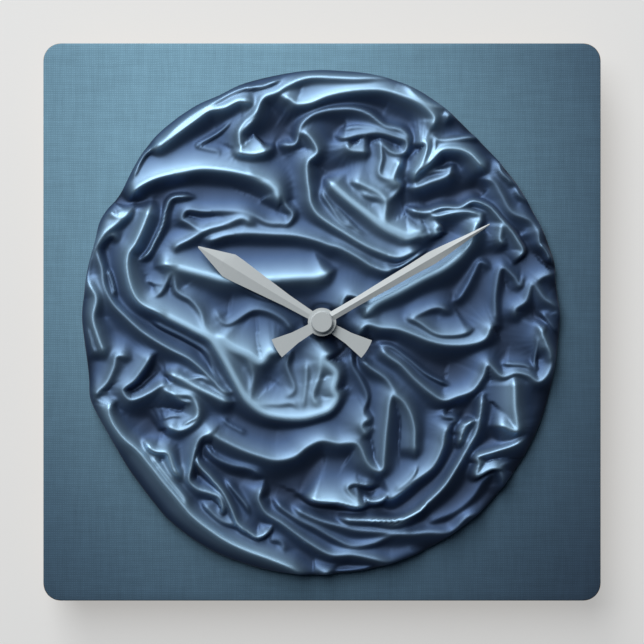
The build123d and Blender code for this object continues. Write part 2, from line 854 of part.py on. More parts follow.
def battery_seal():
    left = battery_button_left - battery_seal_height
    ring = along_battery(battery_diameter / 2 - battery_jacket, left, battery_button_left)
    return ring - along_battery(battery_button_radius, left, battery_button_left)


def contact(wall_x, towards):
    """A bowed leaf between the bay's end wall and the cell. towards is 1 if the cell lies to its right."""
    middle = battery_axis_height
    inner_crest = wall_x + towards * (contact_room - contact_gap - contact_sheet)
    inner_line = [
        (wall_x, -contact_half_width),
        (wall_x, -contact_half_width + contact_foot),
        (inner_crest, -contact_crest_half),
        (inner_crest, contact_crest_half),
        (wall_x, contact_half_width - contact_foot),
        (wall_x, contact_half_width),
    ]
    outer_line = [
        (x + towards * contact_sheet, z * (1 + contact_sheet / contact_half_width)) for x, z in inner_line
    ]
    points = [(x, middle + z) for x, z in inner_line + outer_line[::-1]]
    rear = battery_axis_depth - contact_half_depth
    return slab(outline_of(points), rear, rear + 2 * contact_half_depth)


def positive_contact():
    return contact(bay_right, -1)


def negative_contact():
    return contact(bay_left, 1)


# ---------------------------------------------------------------- case
def case_outline():
    width, height = case_right - case_left, case_top - case_bottom
    centre = ((case_left + case_right) / 2, (case_bottom + case_top) / 2)
    return Pos(*centre) * RectangleRounded(width, height, case_corner_radius)


def bearing(place, hole_radius):
    """A bearing boss on the inside of the cover."""
    return tube(hole_radius + bearing_wall, hole_radius, cover_front, bearing_front, place)


def front_case():
    """The dial side of the case: front wall, sides, battery bay and the posts for what it holds."""
    case = slab(case_outline(), cover_front, case_front)
    case += slab(case_outline(), 0, cover_front)
    case -= block(case_left, case_right, bay_wall_top, case_top, 0, cover_front)
    case -= block(inside_left, inside_right, bay_wall_top, inside_top, 0, front_wall_rear)
    case -= block(bay_left, bay_right, bay_bottom, bay_top, 0, front_wall_rear)
    case -= rod(bush_radius, front_wall_rear, case_front)
    socket_front = cover_front + peg_length + peg_socket_gap
    for place in peg_places:
        case += rod(peg_boss_radius, cover_front, front_wall_rear, place)
        case -= rod(peg_radius + running_gap, cover_front, socket_front, place)
    for place in bridge_pegs:
        case += rod(bridge_post_radius, bridge_front, front_wall_rear, place)
        case += rod(bridge_peg_radius, bridge_rear, bridge_front, place)
    for place in motor_screws:
        case += rod(motor_post_radius, stator_front, front_wall_rear, place)
        case -= rod(motor_screw_radius, stator_front, stator_front + 3.0, place)
    for place in circuit_pegs:
        case += rod(circuit_post_radius, circuit_front, front_wall_rear, place)
        case += rod(bridge_peg_radius, circuit_rear - 0.3, circuit_front, place)
    boss_rear = transfer_pinion_front + end_play
    for place, radius in ((transfer_place, pivot_radius), (setting_place, setting_pivot_radius)):
        hole = radius + running_gap
        case += rod(hole + bearing_wall, boss_rear, front_wall_rear, place)
        case -= rod(hole, boss_rear, front_wall_rear, place)
    return case


def hanger_loop():
    """A tab above the cover and its keyhole: a round hole for a screw's head and a slot for its shank."""
    middle = (case_left + case_right) / 2
    hole_height = case_top + hanger_foot + hanger_hole_radius
    slot_end = hole_height + hanger_hole_radius + hanger_slot_rise - hanger_slot_width / 2
    tab_top = slot_end + hanger_slot_width / 2 + hanger_wall
    tab_bottom = case_top - case_corner_radius
    tab = Pos(middle, (tab_bottom + tab_top) / 2) * Rectangle(hanger_width, tab_top - tab_bottom)
    tab = fillet(tab.vertices().sort_by(Axis.Y)[-2:], hanger_shoulder_radius)
    keyhole = Pos(middle, hole_height) * Circle(hanger_hole_radius)
    slot = Rectangle(hanger_slot_width, slot_end - hole_height)
    keyhole += Pos(middle, (hole_height + slot_end) / 2) * slot
    keyhole += Pos(middle, slot_end) * Circle(hanger_slot_width / 2)
    return tab, keyhole


def rear_cover():
    """The wall side of the case, with the bearings, the knob's well, the pegs and the hanging loop."""
    tab, keyhole = hanger_loop()
    cover = slab(case_outline(), 0, cover_front)
    cover -= block(case_left, case_right, case_bottom, bay_wall_top, 0, cover_front)
    cover += slab(tab, 0, cover_front)
    cover -= slab(keyhole, 0, cover_front)
    for place in peg_places:
        cover += rod(peg_radius, cover_front, cover_front + peg_length, place)
    for place in (axis, third_place, step_place, rotor_place):
        cover += bearing(place, pivot_radius + running_gap)
        cover -= rod(pivot_radius + running_gap, pivot_rear - pivot_end_gap, cover_front, place)
    well_front = knob_sink + knob_thickness + end_play
    floor_front = well_front + case_wall
    cover += rod(knob_well_outer, cover_front, floor_front, setting_place)
    cover -= rod(knob_well_radius, 0, well_front, setting_place)
    return cover - rod(setting_shaft_radius + running_gap, well_front, floor_front, setting_place)


def gear_bridge():
    outline = outline_of(
        [
            (bridge_left, bridge_bottom),
            (bridge_right, bridge_bottom),
            (bridge_right, bridge_step),
            (bridge_shoulder, bridge_step),
            (bridge_shoulder, bridge_top),
            (bridge_left, bridge_top),
        ]
    )
    plate = slab(outline, bridge_rear, bridge_front)
    plate -= rod(minute_pipe_radius + running_gap, bridge_rear, bridge_front)
    for place in (third_place, step_place, rotor_place, transfer_place):
        plate -= rod(pivot_radius + running_gap, bridge_rear, bridge_front, place)
    plate -= rod(setting_shaft_radius + running_gap, bridge_rear, bridge_front, setting_place)
    for place in bridge_pegs:
        plate -= rod(bridge_peg_radius + running_gap, bridge_rear, bridge_front, place)
    return plate


pieces = {
    "face_board": face_board,
    "linen_facing": linen_facing,
    "wadding_disc": wadding_disc,
    "satin_drape": satin_drape,
    "threaded_bush": threaded_bush,
    "rubber_gasket": rubber_gasket,
    "washer": washer,
    "hex_nut": hex_nut,
    "front_case": front_case,
    "rear_cover": rear_cover,
    "gear_bridge": gear_bridge,
    "coil_core": coil_core,
    "coil_bobbin": coil_bobbin,
    "coil_winding": coil_winding,
    "stator": stator,
    "motor_screws": motor_screw_set,
    "circuit_board": circuit_board,
    "chip": chip,
    "quartz_crystal": quartz_crystal,
    "positive_contact": positive_contact,
    "negative_contact": negative_contact,
    "battery_can": battery_can,
    "battery_jacket": battery_jacket_sleeve,
    "battery_seal": battery_seal,
    "rotor_pinion": rotor_pinion,
    "rotor_magnet": rotor_magnet,
    "step_wheel": step_wheel,
    "seconds_wheel": seconds_wheel,
    "seconds_arbor": seconds_arbor,
    "third_wheel": third_wheel,
    "centre_wheel": centre_wheel,
    "minute_pipe": minute_pipe,
    "clutch_spring": clutch_spring,
    "minute_collet": minute_collet,
    "minute_hand": minute_hand,
    "cap_nut": cap_nut,
    "transfer_wheel": transfer_wheel,
    "hour_wheel": hour_wheel,
    "hour_collet": hour_collet,
    "hour_hand": hour_hand,
    "setting_shaft": setting_shaft,
    "setting_knob": setting_knob,
}

os.makedirs("parts", exist_ok=True)
for node, build in pieces.items():
    export_step(build(), f"parts/{node}.step")
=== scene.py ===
"""A wall clock with a face of gathered satin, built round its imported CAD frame.

Laid out as a Blender add-on and run as a script. All lengths in the sidebar are in metres, and the
folds' own sizes below are in millimetres: x to the right and z up from the hands' axis, as seen from
the front, and depth out from the wall.
"""

import math

import bpy
import numpy as np
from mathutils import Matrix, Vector


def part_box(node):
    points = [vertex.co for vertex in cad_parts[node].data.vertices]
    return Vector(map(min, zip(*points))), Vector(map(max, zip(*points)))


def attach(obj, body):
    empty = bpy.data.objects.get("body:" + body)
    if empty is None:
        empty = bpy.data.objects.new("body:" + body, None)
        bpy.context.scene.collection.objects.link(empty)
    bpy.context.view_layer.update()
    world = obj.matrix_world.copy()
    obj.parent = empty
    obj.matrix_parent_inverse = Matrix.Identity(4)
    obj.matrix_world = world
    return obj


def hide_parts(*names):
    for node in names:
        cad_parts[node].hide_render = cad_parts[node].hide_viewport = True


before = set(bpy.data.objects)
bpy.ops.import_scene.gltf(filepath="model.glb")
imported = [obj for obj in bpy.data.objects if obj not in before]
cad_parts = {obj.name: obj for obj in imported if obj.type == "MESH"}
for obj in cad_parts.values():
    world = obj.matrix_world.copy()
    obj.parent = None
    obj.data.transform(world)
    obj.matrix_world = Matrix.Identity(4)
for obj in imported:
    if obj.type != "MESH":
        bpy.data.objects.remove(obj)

bl_info = {
    "name": "Gathered satin wall clock",
    "version": (1, 0, 0),
    "blender": (4, 5, 0),
    "location": "3D View > Sidebar > Clock",
    "description": "Makes the cloth face of a wall clock and finishes its parts",
    "category": "Add Mesh",
}

MM = 0.001
# A fold's crest: its radius, how much of the height stands in a soft ridge along it, and that ridge's
# width, in millimetres.
CREST_RADIUS, RIDGE_SHARE, RIDGE_WIDTH = 0.5, 0.1, 2
# The soft maximum of the folds takes this root of the sum of this power.
UNION = 5
# The folds as built stand this much higher than in the list, and at this height the satin takes its full
# painted highlight.
LIFT, FULL_HIGHLIGHT_HEIGHT = 1.1, 9.4
# The linen's brightness as a power of two, partly dye and partly painted shade: at the middle, per metre to the
# right and up, and per square metre across, crosswise and up.
LINEN_DYE_AND_SHADE = (-1.56, -3.8, 5.3, -49, -8, -28.5)
# The satin's painted light, its brightness as a power of two: painted shade in the valleys, and the painted
# highlight that a full fold adds.
SATIN_PAINTED_LIGHT = (-5.4, 5.15)
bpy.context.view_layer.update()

# Where the satin's rim lies on the linen, point by point anticlockwise from the right.
RIM = [
    (116, 1), (115, 12), (113.9, 21), (113.6, 28), (111.5, 35), (108.5, 43), (103, 53.5), (98, 62.5),
    (93, 70), (86.6, 77.8), (80, 85), (73, 92), (66.5, 98.5), (60, 104), (53.2, 109), (47.5, 112.6),
    (40, 116), (30, 119.3), (20, 121.4), (10, 122.3), (0, 122.8), (-10, 122.2), (-20, 120.7),
    (-30, 118.6), (-40, 115.6), (-50, 110.6), (-60, 106.2), (-68, 101.3), (-74, 96.8), (-80, 91.6),
    (-84.5, 86.5), (-88.5, 81), (-92.5, 74), (-97, 65), (-101, 59), (-105, 54.5), (-108.6, 48),
    (-110.6, 39), (-113.8, 27), (-115.8, 15), (-117, 3), (-116, -8), (-114.7, -18), (-113.6, -28),
    (-113, -37), (-110, -44), (-105, -53), (-100, -62), (-94.7, -71), (-89, -79), (-82.5, -87.5),
    (-76, -95.3), (-68, -102.2), (-60, -107.8), (-50, -113.2), (-40, -117), (-30, -120), (-20, -122),
    (-8, -122.9), (5, -122.8), (18, -121.5), (31, -118.5), (44, -114), (56, -108), (67, -101), (78, -92),
    (87, -82), (95, -71), (101, -61), (106, -50), (110, -38), (112.6, -27), (114.6, -14),
]

# The folds: height above the valleys, width on the left and on the right of the crest as one travels
# along it, and the points that the crest passes through.
FOLDS = [
    (8.2, 7.3, 14, [(-86.6, 82.1), (-78.5, 84.9), (-69.5, 91.6), (-60, 98.5), (-54.3, 102.3), (-47.2, 103.6),
        (-39, 107), (-28.7, 104.5)]),
    (4.3, 2, 2.5, [(-54.4, 77.7), (-49.8, 82), (-55.8, 83.9), (-60.6, 85.4), (-58, 87.2), (-48.5, 93),
        (-40.5, 101.4)]),
    (7.8, 11.5, 9.7, [(-95.3, 57.6), (-89.9, 64.2), (-82.9, 68.4), (-76, 70.7), (-68.4, 72.2), (-58.7, 73.9),
        (-48.9, 73.4), (-38.7, 71.7), (-30, 68.9), (-22.2, 63.5), (-21.4, 55.5), (-20.8, 55.1),
        (-20.6, 56.6)]),
    (5.2, 7.4, 8.3, [(-38.4, 79), (-31.9, 69.4), (-21.2, 66.8), (-17.5, 56.8), (-14, 52.2), (-16.3, 47.8),
        (-20, 47.6), (-26.4, 48.2), (-36.5, 52.9), (-47.1, 53.7), (-57, 53.6), (-65.4, 54.3), (-67.7, 50.2),
        (-64.7, 47.9), (-56.6, 44), (-50.5, 51)]),
    (7.1, 8.5, 14, [(-43.9, 79.1), (-39.8, 83.2), (-39.5, 91.2), (-33.1, 98.3), (-28.8, 107.9),
        (-21.7, 111.2), (-15.2, 115.1), (-5.7, 118.3), (6.4, 118.1), (16.5, 117.8), (26.7, 118.5),
        (38.2, 118.5), (45.1, 110.2), (52.3, 105.3), (62.1, 103), (57.6, 93.4)]),
    (8.2, 10.4, 10.3, [(-42.7, 87.9), (-41.7, 82.9), (-36.3, 81.4), (-31.1, 81.4), (-25.7, 83.6),
        (-23.5, 88.5)]),
    (7.5, 14, 10.4, [(-23.1, 114.4), (-20, 110.1), (-15.2, 107.4), (-11.8, 105.3), (-5.3, 106), (2, 109),
        (10.2, 111), (20, 112.2), (30, 112), (40, 109), (48.6, 104.8), (54.6, 98.5), (51.7, 92.2),
        (53.4, 89)]),
    (5.5, 3.3, 14, [(-25, 87.1), (-18, 85.9), (-12.6, 86.7), (-10.4, 94.8), (-5.2, 99.9), (1.6, 102.4),
        (9.6, 103.3), (16.6, 103), (23.4, 100.5), (30.7, 95.1), (38.9, 92.9), (43.8, 87.4), (45.9, 83)]),
    (6.8, 11, 8.3, [(-16.1, 92.4), (-7.4, 90.9), (-2.1, 82.7), (-6.8, 77.3), (-7, 69.8), (-6.1, 63.2),
        (-5.3, 57.6), (-2.3, 52.2), (3.4, 47.7), (11.7, 42.5), (19.8, 37.6), (27.8, 33.9), (37.1, 31.3),
        (45.2, 34.6), (50.1, 38.5)]),
    (5.9, 7.7, 1.3, [(-58.8, 60.4), (-66.9, 61), (-72.9, 59.9), (-75.7, 54.9), (-77.4, 47.1), (-80.9, 39.5),
        (-85, 32.5), (-92.5, 28.3)]),
    (8.2, 13.7, 7.1, [(-83.1, 60.6), (-83.6, 54.2), (-86.4, 46.2), (-90.2, 38), (-93.6, 32.7), (-94.1, 25),
        (-91.6, 15.1), (-87.3, 8.8), (-79.3, 4.7), (-69.9, 0), (-61.7, -4.2), (-53.1, -9.3), (-46.9, -18.8),
        (-41.2, -29.4), (-35.6, -38.6), (-27.5, -44.6), (-18, -46.7), (-8.9, -46.9), (-1, -45), (4.4, -42.5),
        (7.5, -37.2), (6.1, -32.6), (7.2, -25.1), (1.1, -17.8), (9.3, -12.9)]),
    (7.3, 9.7, 10.7, [(-91.4, 59.7), (-93.2, 53.3), (-98.8, 47.8), (-104.9, 43.1), (-109.1, 37.9),
        (-112.5, 31.4), (-114.9, 21.7), (-109.3, 12), (-110.7, 1.8), (-108.4, -6.9), (-105.5, -14.8),
        (-103.6, -21)]),
    (6.5, 2.5, 14, [(-102.9, 56.6), (-101.3, 52.4), (-98, 50.8), (-99.6, 56.2)]),
    (6, 5.4, 10.9, [(-97, 35), (-98.2, 38.1), (-102, 42.2), (-108.8, 35.6), (-106.5, 25.9), (-105.4, 17.6),
        (-101.5, 9.4), (-95.3, 2.7), (-87.5, -4.4), (-80.1, -9.4), (-72.8, -13.6), (-64.5, -17.8),
        (-58.5, -22.6), (-53, -28), (-46.2, -34.2), (-39.9, -31)]),
    (5, 1.3, 3, [(-105.7, 28.9), (-103, 23.2), (-101, 16.2), (-100.4, 8.8)]),
    (6.3, 6.3, 13, [(-71.2, 28.7), (-71.1, 35.8), (-64.1, 40), (-56.2, 44.5), (-47.2, 47.1), (-37.9, 50.1),
        (-29, 43.8)]),
    (6.2, 9, 10.9, [(-61.3, 42.1), (-54.2, 39.8), (-46.2, 42), (-36.4, 43), (-24.5, 42.5), (-12.5, 41.8),
        (-2.7, 39.5), (3.7, 37.2), (9.7, 35.4), (17.7, 31.1), (24.7, 26.8), (32.6, 24.8), (39, 30.6)]),
    (8.1, 9.7, 14, [(-83.8, 26.6), (-75.8, 27.8), (-65.6, 25.1), (-55.7, 22.5), (-45.8, 20.1), (-33.8, 20),
        (-21.8, 20.5), (-10.7, 21.2), (-0.6, 22), (8.3, 27)]),
    (5.5, 14, 5.5, [(-86.4, 12.2), (-78.7, 13.6), (-72.6, 23.7), (-70.3, 14.9), (-63.4, 10.3), (-58.8, 4.4),
        (-55.8, -4.1), (-47.6, -9.7), (-38, -15.5), (-33.3, -25.6), (-34, -38.2), (-22.4, -40),
        (-13.5, -39.9), (-8.3, -46.5)]),
    (4, 7.2, 1.3, [(-87.4, 21.5), (-81.6, 18.5), (-74.5, 18.1)]),
    (4.6, 14, 8.6, [(-54.3, 10.3), (-46.5, -1), (-32.2, 5.9), (-19, 1.2), (-11.7, -9.2)]),
    (3.4, 3.9, 2.1, [(-53.7, 22.6), (-40.5, 16.8), (-29, 11.4), (-16.4, 9.3)]),
    (8.2, 10.5, 9.7, [(-0.3, 71.8), (5.8, 65.6), (13.2, 59), (21.3, 52.6), (29.4, 46.3), (36.4, 42.5),
        (42.4, 40.6), (49, 45), (50.9, 48.9)]),
    (5, 4.4, 4.6, [(2.1, 68.9), (0.4, 62.7), (4.1, 56.3), (10.5, 47.9), (20.6, 44.5)]),
    (6.8, 14, 14, [(9, 66.7), (14.8, 67.9), (21.7, 65.5), (30.6, 59.5), (31, 47.4), (41.3, 42), (51, 42.2),
        (55.7, 46.3)]),
    (5.8, 7.3, 7.1, [(3.9, 92.6), (10.5, 89.3), (18.3, 90.8), (27.5, 91.7), (35.3, 89.9), (41.2, 87.3),
        (40, 82), (34.3, 81.9), (29.4, 85.7), (28.8, 85), (29, 79.1), (28.3, 71.1), (37.8, 66.6),
        (32.7, 59.4), (26.4, 60.2), (20.1, 62.4), (19.4, 69.5)]),
    (4.5, 1.4, 14, [(5.6, 90.8), (11.3, 93.7), (18.3, 94.8), (26, 93.9), (33.9, 92)]),
    (7.3, 14, 14, [(41.5, 82), (37, 75.7), (34.6, 67.5), (41.9, 66.2)]),
    (6.4, 14, 14, [(12.8, 90.8), (13, 83.8), (20.9, 82.5), (26.1, 82.7)]),
    (8.2, 14, 5.1, [(41.5, 85.9), (50.5, 86.1), (48.6, 76.9), (45, 70.9), (45.1, 63.5)]),
    (6.1, 1.8, 6.3, [(49.9, 94.2), (56.2, 88.5), (64.4, 88.6), (72.5, 89.6), (81.2, 89.6), (86.6, 82.8),
        (87.1, 73.5), (92, 68.3), (97.7, 62.5)]),
    (8.2, 6.4, 9.3, [(41.8, 69.7), (50.9, 76.1), (58, 82.9), (66, 83.5), (71.9, 81.2), (76.7, 76.4),
        (82.5, 70)]),
    (6.5, 4.7, 14, [(37.5, 66.3), (45.1, 65.2), (52.6, 67.7), (61.6, 71.7), (62.5, 79.9)]),
    (6.4, 2.3, 9.7, [(37.8, 57.8), (42.4, 54.7), (50.2, 53.1), (58.7, 55.4), (66.9, 55.5), (73.5, 58.5),
        (81.4, 55.7), (87.1, 49.6), (92.1, 44), (95.8, 38.4), (97.6, 33.9), (94.3, 30.3), (91, 26.1)]),
    (6.8, 2.8, 14, [(49.1, 57.2), (54.3, 51.5), (62.5, 52.7), (70.3, 53.5), (77.1, 52.5), (81.6, 55.5)]),
    (7.4, 14, 8.5, [(58.8, 48.4), (55.1, 44.6), (56.9, 40.3)]),
    (6.4, 5.3, 5.6, [(75.9, 56.9), (76.9, 50.2), (74, 44.3), (70.9, 39.1)]),
    (3.9, 3.2, 14, [(59.3, 10.5), (65.7, 10.8), (70.1, 16.6), (73.5, 23.2), (76.9, 29), (82.4, 26.5),
        (85.7, 23.2)]),
    (4.7, 7.3, 7.3, [(85.3, -5.6), (84.4, 4.6), (84.5, 14.8), (87.3, 26), (93.4, 21.9), (96.1, 17.6),
        (97.8, 20.9), (103.1, 19)]),
    (5.2, 8.2, 11.3, [(96.8, -2.6), (93.7, 5.5), (99, 10.1), (102.4, 18.3), (108.3, 11.1), (115.9, 5.7),
        (114.1, -3.7)]),
    (5.1, 8.3, 14, [(101.9, 17.1), (107.1, 21.8), (112.6, 23.7), (113.7, 27.4)]),
    (5.6, 5, 5.6, [(95.1, 71.9), (95.8, 62.3), (106.6, 54), (105.4, 40.5), (107.5, 30.8)]),
    (8.2, 6.3, 14, [(17.7, -1), (25.5, 8.1), (37.7, 14.6), (49.6, 21.1), (58.5, 25.5), (66.2, 31.3),
        (72.2, 38.5), (74.7, 47.2), (81.7, 50.7)]),
    (5.2, 14, 14, [(73.3, 70), (82.5, 68.5), (87.2, 61.6), (92.3, 53.2), (102.9, 47.9), (106.6, 36.1)]),
    (2, 5, 2.1, [(52.8, 105.9), (60.5, 99.6), (68.1, 94.4), (73.9, 88.9)]),
    (6.5, 11.5, 7.5, [(87.5, 51), (86.8, 44.7), (86.6, 39.1), (92, 37.1)]),
    (6.1, 14, 6.1, [(8.7, -0.4), (12.6, 12.8), (28.2, 6.7)]),
    (6.2, 4.7, 14, [(-77.7, -13.3), (-82.2, -15.9), (-85.8, -21.5), (-90.8, -28.3), (-96.2, -32.9),
        (-93.2, -37.6), (-88.8, -37), (-82.8, -34.1), (-76.3, -30.5), (-70, -34.3)]),
    (6.4, 14, 8.5, [(-88.9, -19.5), (-95.5, -16.6), (-99.5, -16.9), (-100.9, -22.4), (-104.1, -29.3),
        (-109, -34.5), (-107.3, -33.7), (-104.2, -34.6), (-101.1, -32.4)]),
    (7.5, 6, 9.7, [(-78.7, -27.8), (-75, -25.1), (-68.2, -27.6), (-61.1, -31.5), (-53.5, -35.2),
        (-45.7, -38.6), (-39.3, -38.2)]),
    (5.2, 1.3, 14, [(-72.2, -21), (-66.1, -27.4), (-57.6, -27.1), (-50.4, -33.3)]),
    (6.8, 10.2, 13, [(-78.3, -26.1), (-77.6, -31.2), (-73.9, -34.1), (-69, -35.1), (-62.7, -36.3),
        (-60, -43.7), (-61.6, -49.1), (-68.5, -52.6), (-76.1, -50.5), (-80.8, -53.1)]),
    (6.2, 2.8, 5.8, [(-74.6, -32.3), (-68.2, -37.9), (-60.9, -39.3)]),
    (8.2, 6.8, 14, [(-97.5, -35.5), (-102.5, -41), (-101.6, -47.8), (-96, -56), (-88.9, -62.3),
        (-82.2, -70.3), (-76.5, -77.6), (-70.1, -85.1), (-63, -93.5), (-54.5, -100.4), (-45.6, -106.3),
        (-35.7, -110.9), (-25.8, -114.5), (-15.2, -119), (-3.8, -126.3), (7.6, -117.6)]),
    (8.2, 6, 11, [(-89.4, -54.8), (-81.3, -62.1), (-74.3, -63.7), (-71, -72), (-65, -79.3)]),
    (6.5, 4.4, 8.8, [(-47.7, -48.3), (-53.3, -53.2), (-58.7, -56.3), (-61.8, -63.3), (-63.3, -70.5),
        (-64.2, -76.8), (-60, -81), (-54.4, -82.8), (-49.7, -84.9), (-48, -89.2), (-48.3, -92.2),
        (-53.5, -88.7)]),
    (6.4, 10, 12.1, [(-59.1, -61.8), (-57.3, -57.1), (-53, -54.9), (-48, -57.5), (-39.6, -61.6), (-31, -64.8),
        (-22, -67), (-13.6, -65.4), (-7, -60.5), (0, -57.6), (8.1, -58.9), (17.4, -59.3), (22.1, -68.3),
        (25.9, -71.8), (29.4, -71.7), (30.2, -64.9), (31, -55), (32, -46.1), (32.8, -39.2), (34.6, -35.8),
        (39.5, -38.5), (43.1, -44.4), (45, -52.1), (45, -60), (45.3, -69.7)]),
    (4.3, 4.9, 7.3, [(-58.4, -56), (-55.8, -61.2), (-51.6, -66), (-43.8, -69.5), (-33.5, -71.9),
        (-25.3, -77.7)]),
    (6.7, 4.4, 2.9, [(-58.4, -60.5), (-60.4, -67.7), (-53.9, -75.7), (-47.8, -82.9), (-43.9, -90.7),
        (-40.7, -97.9), (-35.6, -102), (-30.8, -104.5), (-25.5, -101.3), (-22.8, -95.6)]),
    (4.5, 4.3, 3, [(-49.8, -73.7), (-42.3, -82.5), (-35.9, -91), (-35.8, -97.8)]),
    (5.9, 5.7, 8.3, [(-27.6, -75.1), (-29.1, -80.6), (-30.6, -85.2), (-29.8, -88.4), (-26.7, -93.1),
        (-19.2, -97.8), (-12.1, -103.1), (-4.8, -108.1), (4.6, -113), (14.8, -113), (24.7, -114.9),
        (34, -117.5), (44.4, -116), (52.1, -110.1)]),
    (4.7, 4.7, 7, [(-27.4, -85.6), (-23.5, -86.5), (-18.9, -90.9), (-10.9, -96.3), (-2.6, -100.3),
        (6, -105.2), (14.8, -108.8), (25, -107.5), (36.3, -103), (49, -103.1)]),
    (5.1, 3.6, 14, [(-17.5, -87.8), (-8.5, -93.1), (0, -96.7), (8.5, -99), (16.6, -101), (28.6, -102),
        (40.6, -103), (52.5, -102.2), (63.2, -102.2), (70.6, -95.1), (79.3, -93.3), (88.3, -88.3),
        (88.8, -79), (86.7, -70.4), (95.8, -66.7)]),
    (8.1, 11.6, 3.5, [(-11.7, -83.3), (-2.1, -86.7), (7.8, -87.5), (17.7, -89.5), (25.7, -87.1)]),
    (5.3, 14, 3.7, [(-61.2, -83.8), (-55.1, -91.1), (-48.2, -97), (-39.2, -100.1), (-35.6, -108)]),
    (4, 14, 6, [(-28.8, -106), (-19.9, -106.9), (-17.6, -114.6)]),
    (8.2, 14, 14, [(-54.5, -3.3), (-44.5, -12), (-35, -16.3), (-29.2, -19.6), (-24.3, -14.8),
        (-15.8, -16.2)]),
    (4.1, 9, 1.3, [(-86.1, 2.4), (-76.9, -3.1), (-66.3, -8.4), (-56, -15.4), (-51.2, -27.2), (-42.7, -33)]),
    (5, 14, 14, [(-11.9, -9.3), (-17, -20.3), (-13.6, -33.2), (-23.8, -38)]),
    (5.6, 14, 10.8, [(-7.9, -14.1), (-7.5, -26.5), (-8.9, -38.9), (-10.8, -47.3)]),
    (6.5, 14, 14, [(-0.2, -12.6), (-0.8, -24.4), (-4.1, -37), (3.8, -43.8)]),
    (6.2, 8.7, 11.6, [(65.6, -45.7), (60.2, -53), (58.4, -61), (53.6, -70.5), (44.4, -77.5), (35.1, -84.8),
        (26.1, -87.4)]),
    (5.6, 3.3, 5.7, [(30.2, -78.9), (21.7, -79.3), (15.7, -78.5), (12.4, -80.9), (17.6, -86.1),
        (25.1, -86.1)]),
    (6, 7, 9.2, [(26.3, -7.4), (30.7, -15.3), (38.7, -21.3), (45.6, -28.4), (52.6, -34.3), (59.1, -38),
        (65.8, -36.1), (73.1, -33.2), (77.9, -26.8), (80.7, -20.8), (87.4, -26.5), (94.1, -24.8),
        (100.3, -26.1), (105.4, -29), (110.7, -24.3), (112.4, -17.7), (109.5, -11.3), (106.2, -3.9),
        (101.9, 2.7)]),
    (4.2, 1.7, 2.7, [(22.5, -11.5), (33, -12), (42, -18), (50.4, -25), (58, -29.1), (66, -32.2)]),
    (6.5, 11, 10, [(15.6, -10.7), (21, -1.7), (28.9, -2.8), (37, -3.6), (44.9, -6.4), (53, -9.5), (61, -11.1),
        (71.1, -10.9), (79, -8.3), (82.7, -1.9), (89.3, -1.9)]),
    (5.8, 10.4, 5.4, [(36.8, 3.8), (46.4, 0), (54.8, -5.4), (61.6, -6.5), (69.8, -5.3), (76.7, -0.4)]),
    (4.9, 7.9, 10.7, [(37.3, -2.2), (46.7, 3.5), (57.1, 7), (66.1, 1.6)]),
    (4.2, 5.2, 14, [(11.5, -10.5), (14, -15.4), (15, -21.5), (19, -28.5), (22.1, -36.4), (20, -44),
        (20.9, -49), (24, -52.5)]),
    (5.4, 6.9, 8, [(15.5, -14.2), (22.3, -21.4), (31.3, -27.9), (37, -35.5), (43, -37.1)]),
    (6.3, 14, 14, [(26.7, -45.1), (19.3, -50.2), (24.5, -57.7)]),
    (6.3, 9.8, 2.9, [(82.7, -34), (78.2, -35.8), (76.9, -43.9), (75, -53), (70.7, -61.1), (65.4, -70.3),
        (59.5, -79.4), (52.5, -86.6), (46, -92.2), (36.5, -97.9), (25, -96.5), (13.1, -96), (4.8, -94.4)]),
    (7.7, 1.7, 1.4, [(54.2, -83.5), (47.5, -91.4), (37.5, -96), (27.1, -96.3), (16.9, -96.5)]),
    (6.8, 14, 1.5, [(78.7, -46.8), (70.8, -49.2), (67, -56.3), (67, -64.1)]),
    (6.8, 14, 2.5, [(102.2, -54), (93.4, -59.5), (83.8, -62.7), (75.5, -65.5), (76.1, -68.9), (75.1, -74.7),
        (83.2, -71), (92.7, -72.4)]),
    (3.1, 8, 5.5, [(87.3, -71.7), (79.1, -76.8), (72.7, -85.9), (64.9, -92.3), (55, -96.4), (46.8, -99.7)]),
    (7.6, 14, 14, [(92.9, -22), (93.4, -32.3), (93.7, -41.4), (94.5, -47.8), (94.4, -52.7), (88.4, -50.5),
        (84.6, -50.1), (79.1, -50.6)]),
    (5.1, 1.3, 14, [(109.9, 1.3), (106.5, -9.1), (111.3, -16.4)]),
    (4.1, 14, 1.3, [(104.7, 7.1), (111, -1.1), (116.7, -7.3)]),
    (4.2, 3.8, 8.4, [(59.3, -40.3), (59.6, -45.8), (64.6, -47), (64.7, -52.6)]),
    (6.3, 2, 3.4, [(-93.3, 64.7), (-86.8, 80.1), (-77.5, 86.9), (-67.6, 96.3), (-54.5, 104.9), (-40.4, 112.4),
        (-27.8, 114.5), (-15.5, 119.7)]),
    (6.1, 3.4, 2.7, [(-28.3, 107.6), (-31.6, 101.9), (-38, 96), (-41, 90), (-38.3, 85.5)]),
    (4.6, 3.4, 2.8, [(-94, 56), (-97.7, 49.7), (-105, 45), (-109.5, 39), (-113, 31)]),
    (5.8, 3.4, 1.3, [(54, 90), (54.8, 85), (52.5, 80.2)]),
    (5.1, 1.3, 1.7, [(46.4, 70.1), (53.8, 72.9), (60.6, 74.1), (67.3, 77.6)]),
    (5.7, 1.3, 5.1, [(29.9, 26.5), (36.2, 26.2), (44.2, 30.7), (52.4, 36.6)]),
    (4.7, 1.7, 4.1, [(1.7, 60), (6.7, 55.3), (12, 50), (18.1, 43.9), (25.8, 41.2)]),
    (6, 2.5, 2.5, [(104, 40), (109, 34), (112.2, 27.4)]),
    (5.2, 1.3, 2.7, [(-115.2, 1.4), (-112.8, -6.3), (-110.6, -13.5), (-107.3, -19.3)]),
    (6, 1.3, 1.5, [(-63.3, -34), (-60.5, -39), (-60.1, -45.4), (-66.4, -49.8), (-68.9, -55.3)]),
